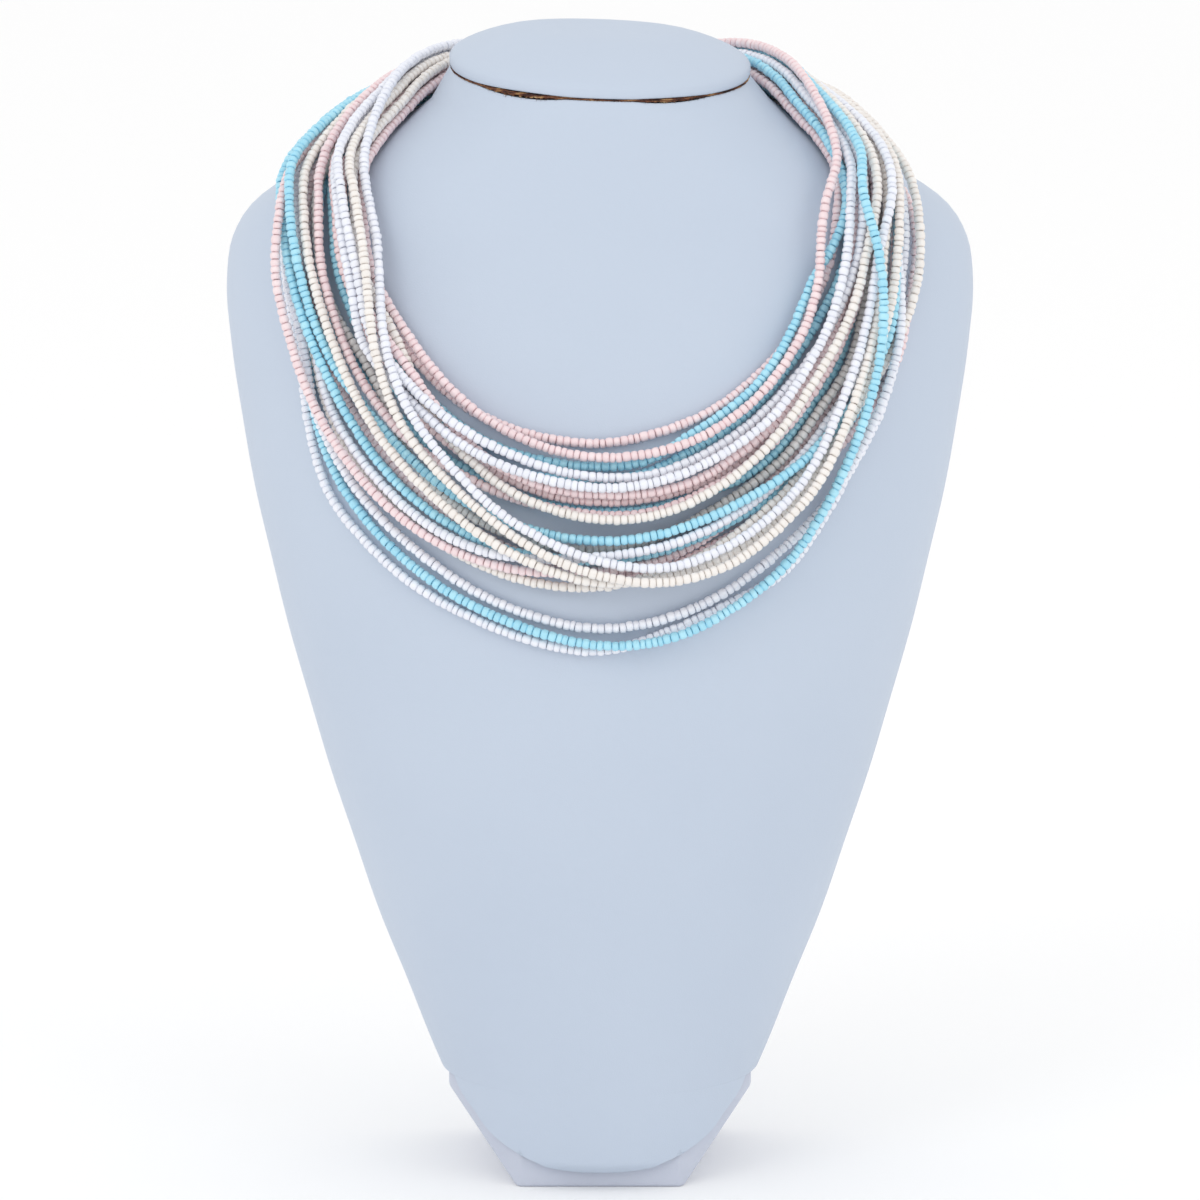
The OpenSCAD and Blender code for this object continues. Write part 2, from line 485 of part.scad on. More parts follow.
// The clasp bar lies along the heap at the nape and takes every strand's two ends
module clasp() {
  spots = [for (i = [0, station_count - 1], k = [0:strand_count - 1]) spot(k, i)];
  first = fan_point(180, column_low, surface_reach(180, column_low));
  last = fan_point(180, column_low + columns_w, surface_reach(180, column_low + columns_w));
  along = unit(last - first);
  out = [0, along[2], -along[1]];
  outs = [for (p = spots) (p - first) * out];
  alongs = [for (p = spots) (p - first) * along];
  r = bead_d / 2;
  near = min(outs) - r / 2;
  far = max(outs) + r + clasp_wall;
  base = min(alongs) - r - clasp_wall;
  length = max(alongs) - min(alongs) + 2 * (r + clasp_wall);
  color([0.78, 0.78, 0.80])
    translate(first)
      rotate([-atan2(along[1], along[2]), 0, 0])
        translate([-clasp_w / 2, near, base])
          cube([clasp_w, far - near, length]);
}

module strand(k) {
  color(bead_colour(STRANDS[k][0])) tube(strand_path(k), bead_d / 2, strand_sides);
}

bust_body();
neck_cap();
cap_board();
bust_foot();
clasp();
for (k = [0:strand_count - 1])
  strand(k);
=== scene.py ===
import math

import bpy
import numpy as np
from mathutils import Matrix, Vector


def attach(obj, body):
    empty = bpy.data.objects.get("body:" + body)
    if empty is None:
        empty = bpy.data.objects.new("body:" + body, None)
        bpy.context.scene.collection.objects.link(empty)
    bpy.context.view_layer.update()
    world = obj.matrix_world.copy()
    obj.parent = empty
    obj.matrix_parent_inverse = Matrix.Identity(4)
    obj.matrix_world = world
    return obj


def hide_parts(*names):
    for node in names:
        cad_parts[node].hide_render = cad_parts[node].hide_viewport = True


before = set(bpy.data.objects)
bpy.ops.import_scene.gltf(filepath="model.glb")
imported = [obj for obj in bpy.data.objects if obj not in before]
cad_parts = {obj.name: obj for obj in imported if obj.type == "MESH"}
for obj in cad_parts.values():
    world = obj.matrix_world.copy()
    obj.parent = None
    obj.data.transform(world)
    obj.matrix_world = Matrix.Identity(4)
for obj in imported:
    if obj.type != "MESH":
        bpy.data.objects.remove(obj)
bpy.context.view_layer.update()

# Camera
# The necklace is seen straight from the front and from 10 degrees above, through a long lens.
# The picture's width takes in 360 mm at the bust.
LOOK_AT = Vector((0, 0, 0.1718))
CAMERA_RISE = math.radians(10)
CAMERA_REACH = 2.2
camera_data = bpy.data.cameras.new("front_camera")
camera_data.lens = 220
camera_data.sensor_width = 36
camera_data.clip_end = 50
camera = bpy.data.objects.new("front_camera", camera_data)
camera.location = LOOK_AT + CAMERA_REACH * Vector((0, -math.cos(CAMERA_RISE), math.sin(CAMERA_RISE)))
camera.rotation_euler = (math.pi / 2 - CAMERA_RISE, 0, 0)
bpy.context.scene.collection.objects.link(camera)
bpy.context.scene.camera = camera


# Finishes
# Each finish is written as sums of sockets, and every other node comes from Finish.node.
class Socket:
    """An output of a node, which adds, multiplies and compares as a number does."""

    def __init__(self, finish, output):
        self.finish = finish
        self.output = output

    def worked(self, operation, first, second):
        return self.finish.node("Math", {"operation": operation}, {0: first, 1: second})

    def __add__(self, other):
        return self.worked("ADD", self, other)

    def __radd__(self, other):
        return self.worked("ADD", other, self)

    def __mul__(self, other):
        return self.worked("MULTIPLY", self, other)

    def __rmul__(self, other):
        return self.worked("MULTIPLY", other, self)

    def __gt__(self, other):
        return self.worked("GREATER_THAN", self, other)

    def __lt__(self, other):
        return self.worked("LESS_THAN", self, other)


class Finish:
    """A material in the making."""

    def __init__(self, name):
        self.material = bpy.data.materials.new(name)
        self.material.use_nodes = True
        self.tree = self.material.node_tree
        self.tree.nodes.clear()

    def node(self, kind, settings=None, values=None, output=0):
        made = self.tree.nodes.new("ShaderNode" + kind)
        for name, setting in (settings or {}).items():
            if name == "stops":
                for place, (at, colour) in enumerate(setting):
                    stops = made.color_ramp.elements
                    stop = stops[place] if place < 2 else stops.new(at)
                    stop.position = at
                    stop.color = colour
            else:
                setattr(made, name, setting)
        for name, value in (values or {}).items():
            if isinstance(value, Socket):
                self.tree.links.new(value.output, made.inputs[name])
            else:
                made.inputs[name].default_value = value
        return Socket(self, made.outputs[output]) if made.outputs else made

    def place(self):
        return self.node("TexCoord", output="Object")

    def noise(self, place, scale, detail):
        return self.node("TexNoise", None, {"Vector": place, "Scale": scale, "Detail": detail}, "Fac")

    def mixed(self, share, first, second):
        return self.node("MixRGB", {"blend_type": "MIX"}, {0: share, 1: first, 2: second})

    def bumped(self, height, distance, strength):
        return self.node("Bump", None, {"Height": height, "Distance": distance, "Strength": strength})

    def surface(self, values):
        shader = self.node("BsdfPrincipled", None, values)
        self.node("OutputMaterial", None, {"Surface": shader})
        return self.material


# Floor and light
# A plain white floor, and large soft lamps in front on both sides, as for a shop's picture.
FLOOR_SIZE = 12
# Name, place, size and power of each lamp
LAMPS = [
    ("lamp_left", (-1.1, -1.5, 1.5), 1.0, 5),
    ("lamp_right", (1.2, -1.2, 1.1), 1.2, 2.5),
]
white_sweep = Finish("white_sweep").surface({"Base Color": (0.98, 0.98, 0.98, 1), "Roughness": 0.9})
bpy.ops.object.select_all(action="DESELECT")
bpy.ops.mesh.primitive_plane_add(size=FLOOR_SIZE, location=(0, 0, 0))
floor = bpy.context.object
floor.name = "floor"
floor.data.materials.append(white_sweep)

world = bpy.data.worlds.new("soft_room")
world.use_nodes = True
background = world.node_tree.nodes["Background"]
background.inputs["Color"].default_value = (1.0, 1.0, 1.0, 1)
background.inputs["Strength"].default_value = 1.0
bpy.context.scene.world = world
bpy.context.scene.view_settings.view_transform = "Standard"
for name, place, size, power in LAMPS:
    lamp_data = bpy.data.lights.new(name, "AREA")
    lamp_data.size = size
    lamp_data.energy = power
    lamp = bpy.data.objects.new(name, lamp_data)
    lamp.location = place
    lamp.rotation_euler = (LOOK_AT - lamp.location).to_track_quat("-Z", "Y").to_euler()
    bpy.context.scene.collection.objects.link(lamp)

# Neck bust's body
# A rigid form padded and covered in white leatherette, with a fine grain and a few dark specks.
# Its front panel ends in a rounded tongue in front of the foot.
MM = 0.001
BUST_H = 332
SHOULDER_W = 224
CHEST_FRONT = 66
BACK_DEPTH = 48
NECK_LEAN = math.tan(math.radians(7))
NECK_TILT = math.tan(math.radians(2))
SEAM_H = 0.9937 * BUST_H
BOARD_T = 1.2
SEAM_GAP = 0.2
FOOT_W = 91
FOOT_H = 30
FOOT_FRONT = 37
FOOT_FACE_W = 48
FOOT_CORNER = 22
# How square the outline is in front of the widest line, and behind it by height
FRONT_POWER = 2.2
BACK_POWERS = [[0.843 * BUST_H, 0.97 * BUST_H], [3.2, 2.1]]
# Height, half width, front, place of the widest line, back, as shares of the sizes above
SECTIONS = np.array([
    [0.090, 0.43, 0.712, 0.10, 0.81],
    [0.105, 0.45, 0.727, 0.125, 0.81],
    [0.169, 0.526, 0.788, 0.19, 0.85],
    [0.232, 0.602, 0.848, 0.23, 0.875],
    [0.295, 0.665, 0.909, 0.27, 0.896],
    [0.361, 0.730, 0.955, 0.29, 0.917],
    [0.425, 0.785, 0.985, 0.31, 0.938],
    [0.488, 0.838, 1, 0.33, 0.958],
    [0.554, 0.885, 1, 0.354, 0.979],
    [0.617, 0.928, 0.97, 0.375, 1],
    [0.681, 0.961, 0.909, 0.396, 1],
    [0.747, 0.989, 0.818, 0.417, 1],
    [0.807, 1, 0.727, 0.438, 1],
    [0.843, 0.982, 0.674, 0.438, 0.99],
    [0.873, 0.924, 0.636, 0.438, 0.98],
    [0.901, 0.803, 0.598, 0.417, 0.958],
    [0.928, 0.652, 0.561, 0.375, 0.917],
    [0.955, 0.502, 0.530, 0.3, 0.875],
    [0.982, 0.414, 0.508, 0.2, 0.833],
    [1.012, 0.387, 0.5, 0.14, 0.813],
    [1.054, 0.38, 0.5, 0.12, 0.79],
])
# The tongue's height as a share of the body's underside, and its half width of half the foot's
TONGUE = np.array([[0.17, 0.1], [0.2, 0.27], [0.27, 0.42], [0.37, 0.57], [0.55, 0.74], [0.7, 0.82],
                   [0.87, 0.92], [1, 0.965]])
TONGUE_LEAN = 0.2
TONGUE_GAP = 1.2
# How far the tongue's tip is rounded back, over which share of its height
TIP_ROUNDING = 2.2
TIP_SHARE = 0.12
# The cover's lip under the seam's line, which drops at two tears in front: place, half width, drop
LIP_GAP = 0.3
TEARS = [(-23, 13, 0.95), (21, 11, 0.65)]
# The lip turned in over its edge: how far it is grown from the neck, and how far it lies lower
LIP_ROWS = [(0, 0.5), (-0.05, 0.25), (-0.3, 0.08), (-0.9, 0.3)]
BODY_TURNS = 144
BODY_RINGS = 96
BODY_TOP = 0.969 * BUST_H
NECK_STEPS = (0.35, 0.7, 0.92)
# Rows of a smoothed table for each row of the given one
FINE_STEPS = 4


def smooth_table(heights, values):
    """A finer table of heights and values that runs smoothly through the given ones."""
    step = np.diff(heights)
    rise = np.diff(values) / step
    slope = np.empty(len(heights))
    slope[0], slope[-1] = rise[0], rise[-1]
    slope[1:-1] = (rise[:-1] * step[1:] + rise[1:] * step[:-1]) / (step[1:] + step[:-1])
    u = np.arange(FINE_STEPS)[None, :] / FINE_STEPS
    low, high = values[:-1, None], values[1:, None]
    found = (2 * u**3 - 3 * u**2 + 1) * low + (u**3 - 2 * u**2 + u) * (step * slope[:-1])[:, None]
    found = found + (3 * u**2 - 2 * u**3) * high + (u**3 - u**2) * (step * slope[1:])[:, None]
    at = heights[:-1, None] + u * step[:, None]
    return np.stack([np.append(at.ravel(), heights[-1]), np.append(found.ravel(), values[-1])], -1)


HALF_W = smooth_table(BUST_H * SECTIONS[:, 0], SHOULDER_W / 2 * SECTIONS[:, 1])
FRONT = smooth_table(BUST_H * SECTIONS[:, 0], CHEST_FRONT * SECTIONS[:, 2])
SIDE = smooth_table(BUST_H * SECTIONS[:, 0], BACK_DEPTH * SECTIONS[:, 3])
BACK = smooth_table(BUST_H * SECTIONS[:, 0], BACK_DEPTH * SECTIONS[:, 4])


def sized(table, z):
    return np.interp(z, table[:, 0], table[:, 1])


def body_ring(turn, z, grow=0):
    """The body's outline at a height, grown, for an array of turns from the front towards +X."""
    half_w, front, side, back = (sized(table, z) for table in (HALF_W, FRONT, SIDE, BACK))
    c, s = np.cos(turn), np.sin(turn)
    half_w = half_w + grow
    reach = np.where(c > 0, side + front, back - side) + grow
    power = np.where(c > 0, FRONT_POWER, np.interp(z, *BACK_POWERS))
    r = 1 / ((np.abs(s) / half_w) ** power + (np.abs(c) / reach) ** power) ** (1 / power)
    return np.stack([r * s, side - r * c, z + 0 * r], -1)


def seam_z(x, y):
    return SEAM_H + y * NECK_LEAN - x * NECK_TILT


def neck_ring(turn, grow, up):
    """The neck's outline in the seam's plane, grown and raised by a number or one for each turn."""
    ring = body_ring(turn, SEAM_H, grow)
    ring[:, 2] = seam_z(ring[:, 0], ring[:, 1]) + up
    return ring


def tear_at(turn):
    """How far the seam is torn open at each turn round the neck."""
    x = body_ring(turn, SEAM_H)[:, 0]
    open_by = sum(drop * np.clip(1 - ((x - at) / wide) ** 2, 0, 1) for at, wide, drop in TEARS)
    return open_by * (np.cos(turn) > 0)


def turns_round(count):
    return np.arange(count) * 2 * math.pi / count


def linked_alone(made):
    """Links an object to the scene and makes it the only one that is selected."""
    bpy.context.scene.collection.objects.link(made)
    bpy.ops.object.select_all(action="DESELECT")
    made.select_set(True)
    bpy.context.view_layer.objects.active = made


def faced_outwards():
    """Turns all faces of the active object outwards."""
    bpy.ops.object.mode_set(mode="EDIT")
    bpy.ops.mesh.select_all(action="SELECT")
    bpy.ops.mesh.normals_make_consistent(inside=False)
    bpy.ops.object.mode_set(mode="OBJECT")


def edges_rounded(made, name, width, segments, limit_method):
    """Rounds the active object's edges, by angle or by weight, and shades it."""
    edge = made.modifiers.new(name, "BEVEL")
    edge.width = width * MM
    edge.segments = segments
    edge.limit_method = limit_method
    bpy.ops.object.modifier_apply(modifier=name)
    bpy.ops.object.shade_smooth_by_angle(angle=math.radians(40))


def from_points(name, points, faces, attributes=()):
    """An object from points in mm, faces and values for each point, with its faces outwards."""
    mesh = bpy.data.meshes.new(name)
    mesh.from_pydata((points * MM).tolist(), [], faces)
    for attribute, values in attributes:
        held = mesh.attributes.new(attribute, "FLOAT", "POINT")
        held.data.foreach_set("value", values.astype(np.float32))
    made = bpy.data.objects.new(name, mesh)
    linked_alone(made)
    faced_outwards()
    return made


def loop_quads(rings, sides, closed):
    """Faces between rings of points, of a tube or, closed, of a ring with a hole through it."""
    one = np.arange(rings * sides).reshape(rings, sides)
    after = np.roll(one, -1, axis=1)
    quads = np.stack([one, after, np.roll(after, -1, axis=0), np.roll(one, -1, axis=0)], -1)
    return (quads if closed else quads[:-1]).reshape(-1, 4)


def drum(name, rings):
    """A closed skin drawn up from a circle by extruding it once per ring, then set to the rings."""
    turns = len(rings[0])
    bpy.ops.object.select_all(action="DESELECT")
    bpy.ops.mesh.primitive_circle_add(vertices=turns, radius=1, fill_type="NGON", location=(0, 0, 0))
    made = bpy.context.object
    made.name = name
    made.data.name = name
    bpy.ops.object.mode_set(mode="EDIT")
    bpy.ops.mesh.select_all(action="SELECT")
    for _ in range(len(rings) - 1):
        bpy.ops.mesh.extrude_region_move(TRANSFORM_OT_translate={"value": (0, 0, 1)})
    bpy.ops.object.mode_set(mode="OBJECT")
    for point in made.data.vertices:
        turn = math.atan2(point.co.x, -point.co.y)
        ring = rings[int(round(point.co.z))]
        place = ring[int(round(turn / (2 * math.pi) * turns)) % turns]
        point.co = Vector(place) * MM
    faced_outwards()
    bpy.ops.object.shade_smooth_by_angle(angle=math.radians(50))
    return made


turn = turns_round(BODY_TURNS)
underside = FOOT_H + SEAM_GAP
foot_slope = FOOT_CORNER / ((FOOT_W - FOOT_FACE_W) / 2)
front_reach = sized(SIDE, underside) + sized(FRONT, underside)
rings = []
for share, width in smooth_table(TONGUE[:, 0], TONGUE[:, 1]):
    x = np.sin(turn) * width * FOOT_W / 2
    z = share * underside
    bulge = (1 - (np.abs(x) / sized(HALF_W, underside)) ** FRONT_POWER) ** (1 / FRONT_POWER)
    lean = (underside - z) * TONGUE_LEAN
    rounding = TIP_ROUNDING * np.clip(1 - (share - TONGUE[0, 0]) / TIP_SHARE, 0, 1) ** 2
    face = sized(SIDE, underside) - front_reach * bulge + lean + rounding
    rear = -FOOT_FRONT - TONGUE_GAP + np.maximum(0, np.abs(x) - FOOT_FACE_W / 2) * foot_slope
    y = np.where(np.cos(turn) > -0.01, face, rear)
    rings.append(np.stack([x, y, np.full(BODY_TURNS, z)], -1))
body_heights = [underside, underside + 0.5, *np.linspace(underside + 3, BODY_TOP, BODY_RINGS)]
rings += [body_ring(turn, z) for z in body_heights]
lip_rings = [neck_ring(turn, grow, -LIP_GAP - under - tear_at(turn)) for grow, under in LIP_ROWS]
rings += [rings[-1] * (1 - share) + lip_rings[0] * share for share in NECK_STEPS]
rings += lip_rings[1:]
body = drum("padded_body", rings)

# Scale of the cells that may hold a speck, share of them that don't, and a speck's size in its cell
SPECK_SCALE = 55.0
SPECKLESS = 0.93
SPECK_SIZE = 0.014


def leatherette(finish, colour, roughness, crease_roughness):
    """Fine grained leatherette of a colour, rougher in its creases."""
    place = finish.place()
    cells = {"Vector": place, "Scale": 1500.0}
    grain = finish.node("TexVoronoi", {"feature": "DISTANCE_TO_EDGE"}, cells, "Distance")
    crease = finish.noise(place, 260.0, 4.0)
    return finish.surface({
        "Base Color": colour,
        "Roughness": roughness + crease * crease_roughness,
        "Specular IOR Level": 0.35,
        "Normal": finish.bumped(grain * 0.6 + crease * 0.8, 0.00012, 0.4),
    })


finish = Finish("white_leatherette")
place = finish.place()
speck = finish.node("TexVoronoi", None, {"Vector": place, "Scale": SPECK_SCALE}, "Distance")
chosen = finish.node("TexVoronoi", None, {"Vector": place, "Scale": SPECK_SCALE}, "Color")
rare = finish.node("SeparateColor", None, {"Color": chosen}) > SPECKLESS
white = finish.mixed(finish.noise(place, 14.0, 3.0), (0.49, 0.56, 0.67, 1), (0.535, 0.605, 0.71, 1))
specked = finish.mixed((speck < SPECK_SIZE) * rare, white, (0.16, 0.15, 0.14, 1))
white_leatherette = leatherette(finish, specked, 0.46, 0.12)
body.data.materials.append(white_leatherette)
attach(body, "root")
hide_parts("bust_body")

# Foot
# A block with slanted sides and cut front corners, covered in the same leatherette. Its edges
# are folded and rounded.
FOOT_FLOOR_W = 50
FOOT_FLARE_H = 26
FOOT_BACK = 37
FOOT_ROUNDING = 2.6
MERGE_WITHIN = 0.00001
bpy.ops.object.select_all(action="DESELECT")
bpy.ops.mesh.primitive_cube_add(size=1, location=(0, 0, 0))
foot = bpy.context.object
foot.name = "covered_foot"
foot.data.name = "covered_foot"
for point in foot.data.vertices:
    deep = FOOT_BACK if point.co.y > 0 else -FOOT_FRONT
    high = FOOT_H if point.co.z > 0 else 0
    point.co = Vector((math.copysign(FOOT_W / 2, point.co.x), deep, high)) * MM
bpy.ops.object.mode_set(mode="EDIT")
for way in (-1, 1):
    slant = Vector((way * FOOT_FLARE_H, 0, -(FOOT_W - FOOT_FLOOR_W) / 2))
    corner = Vector((way * FOOT_CORNER, -(FOOT_W - FOOT_FACE_W) / 2, 0))
    at_floor = Vector((way * FOOT_FLOOR_W / 2, 0, 0))
    at_face = Vector((way * FOOT_FACE_W / 2, -FOOT_FRONT, 0))
    for through, outward in ((at_floor, slant), (at_face, corner)):
        bpy.ops.mesh.select_all(action="SELECT")
        bpy.ops.mesh.bisect(
            plane_co=through * MM, plane_no=outward.normalized(), use_fill=True, clear_outer=True)
bpy.ops.mesh.select_all(action="SELECT")
bpy.ops.mesh.remove_doubles(threshold=MERGE_WITHIN)
bpy.ops.mesh.normals_make_consistent(inside=False)
bpy.ops.object.mode_set(mode="OBJECT")
# All edges are rounded but the upper ones, under the body
folded = foot.data.attributes.new("bevel_weight_edge", "FLOAT", "EDGE")
for line in foot.data.edges:
    low = min(foot.data.vertices[point].co.z for point in line.vertices)
    folded.data[line.index].value = 0 if low > (FOOT_H - 1) * MM else 1
edges_rounded(foot, "folded_edges", FOOT_ROUNDING, 5, "WEIGHT")
finish = Finish("foot_leatherette")
fade = finish.noise(finish.place(), 40.0, 2.0)
foot_tone = finish.mixed(fade, (0.51, 0.545, 0.645, 1), (0.57, 0.605, 0.695, 1))
foot_leatherette = leatherette(finish, foot_tone, 0.5, 0.1)
foot.data.materials.append(foot_leatherette)
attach(foot, "root")
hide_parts("bust_foot")

# Board in the neck seam
# A layer of brown board between the neck and its cap. The cover is torn away from it in front,
# so its ragged edge shows in two places, with loose fibres.
BOARD_INSET = 0.6
BOARD_HALF = 0.28
board = drum("torn_board", [neck_ring(turn, -BOARD_INSET, up) for up in (-BOARD_HALF, 0, BOARD_HALF)])
finish = Finish("torn_board")
layers = finish.node("Mapping", None, {"Vector": finish.place(), "Scale": (150.0, 150.0, 1400.0)})
fibres = finish.node(
    "TexNoise", None, {"Vector": layers, "Scale": 1.0, "Detail": 5.0, "Roughness": 0.7}, "Fac")
board_tone = finish.node("ValToRGB", {"stops": [
    (0.42, (0.02, 0.008, 0.006, 1)),
    (0.52, (0.13, 0.04, 0.02, 1)),
    (0.6, (0.38, 0.21, 0.08, 1)),
    (0.7, (0.76, 0.64, 0.40, 1)),
]}, {"Fac": fibres})
torn_board = finish.surface({
    "Base Color": board_tone,
    "Roughness": 0.9,
    "Normal": finish.bumped(fibres, 0.0006, 1.0),
})
board.data.materials.append(torn_board)
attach(board, "root")
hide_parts("cap_board")

# The board's ragged edge shows in the tears as a thin band of its own, with short points
TEAR_TURNS = 720
torn_rng = np.random.default_rng(7)
tear_turn = turns_round(TEAR_TURNS)
tear_x = neck_ring(tear_turn, 0, 0)[:, 0]
ragged = np.repeat(torn_rng.uniform(0.25, 0.95, TEAR_TURNS // 2), 2) * torn_rng.uniform(0.8, 1, TEAR_TURNS)
fray = torn_rng.uniform(0, 0.3, TEAR_TURNS)
lower = -0.22 - tear_at(tear_turn) * ragged
upper = 0.24
# How far each row of the band is grown from the neck, and its height in the seam
layer_rings = [neck_ring(tear_turn, grow, up) for grow, up in (
    (-0.55, lower), (-0.22 + fray, lower - 0.05), (-0.2 + fray, (lower + upper) / 2), (-0.3, upper),
    (-0.55, upper))]
layer_quads = loop_quads(len(layer_rings), TEAR_TURNS, True)
torn_layer = from_points("torn_layer", np.concatenate(layer_rings), layer_quads.tolist())
torn_layer.data.materials.append(torn_board)
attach(torn_layer, "root")

# Each fibre is a thin spike of four rings, which leaves the edge outwards and hangs down
FIBRES = 46
FIBRE_SIDES = 3
FIBRE_SHARES = (0, 0.35, 0.7, 1)
FIBRE_OUT = 0.35
FIBRE_HANG = 0.9
FIBRE_TAPER = 0.75
fibre_turn = turns_round(FIBRE_SIDES)
fibre_round = np.stack([np.cos(fibre_turn), np.sin(fibre_turn) * 0.5, np.sin(fibre_turn)], -1)
fibre_quads = loop_quads(len(FIBRE_SHARES), FIBRE_SIDES, False)
fibre_rings = []
fibre_faces = []
for number in range(FIBRES):
    at, wide, deep = TEARS[torn_rng.choice(2, p=[0.6, 0.4])]
    want = at + wide * torn_rng.uniform(-0.9, 0.9)
    root = int(np.argmin(np.abs(tear_x - want) + 100 * (np.cos(tear_turn) < 0.1)))
    start = layer_rings[1][root]
    outward = start - neck_ring(tear_turn, -3, 0)[root]
    outward[2] = 0
    outward = outward / np.linalg.norm(outward)
    sideways = np.array([outward[1], -outward[0], 0]) * torn_rng.normal(0, 0.6)
    length = deep * torn_rng.uniform(0.3, 1.1)
    thick = torn_rng.uniform(0.04, 0.09)
    for share in FIBRE_SHARES:
        hang = np.array([0, 0, FIBRE_HANG * share * share])
        middle = start + length * (share * (sideways + outward * FIBRE_OUT) - hang)
        fibre_rings.append(middle + thick * (1 - FIBRE_TAPER * share) * fibre_round)
    base = number * len(FIBRE_SHARES) * FIBRE_SIDES
    fibre_faces += (fibre_quads + base).tolist()
    fibre_faces += [(base + 2, base + 1, base), (base + 9, base + 10, base + 11)]
board_fibres = from_points("board_fibres", np.concatenate(fibre_rings), fibre_faces)
board_fibres.data.materials.append(torn_board)
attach(board_fibres, "root")

# Cap of the neck
# A padded disc in the same leatherette, with a rounded edge in line with the neck and a low dome.
CAP_T = 12
CAP_OVERHANG = 0.2
# The share of each tear by which the cap's lower edge is lifted
TEAR_UP = 0.3
# Height as a share of the cap's side, and how far it is grown from the neck
CAP_EDGE = [[0, -0.9], [0, -0.3], [0.012, -0.05], [0.05, 0.14], [0.1, CAP_OVERHANG],
            [0.19, CAP_OVERHANG], [0.27, -0.3], [0.34, -1.1], [0.41, -2.3], [0.48, -3.7], [0.565, -5.8],
            [0.67, -8.8], [0.78, -12.5], [0.88, -16.5], [0.95, -20], [0.985, -23], [1, -26]]
cap_base = LIP_GAP + TEAR_UP * tear_at(turn)
cap_side = BOARD_T / 2 + SEAM_GAP + CAP_T - cap_base
cap = drum("padded_cap", [neck_ring(turn, grow, cap_base + share * cap_side) for share, grow in CAP_EDGE])
cap.data.materials.append(white_leatherette)
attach(cap, "root")
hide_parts("neck_cap")

# Routes of the strands
# Each of the 24 strands is a whole loop that lies on the bust or on the strands laid before it.
# Heights are along a line that leans forward from the middle of the chest, at angles round it.
BEAD_D = 3
STRAND_GAP = 0.25
SEAT_GAP = 0.6
CLASP_W = 9
END_GAP = 0.3
FAN_Y = 0.167 * BACK_DEPTH
FAN_Z = 0.768 * BUST_H
# Sines of the line's lean, and of the lean with the 10 degrees of the line of sight off and on
LEAN = math.sin(math.radians(45))
SIGHT_OUT = math.sin(math.radians(35))
SIGHT_UP = math.sin(math.radians(55))
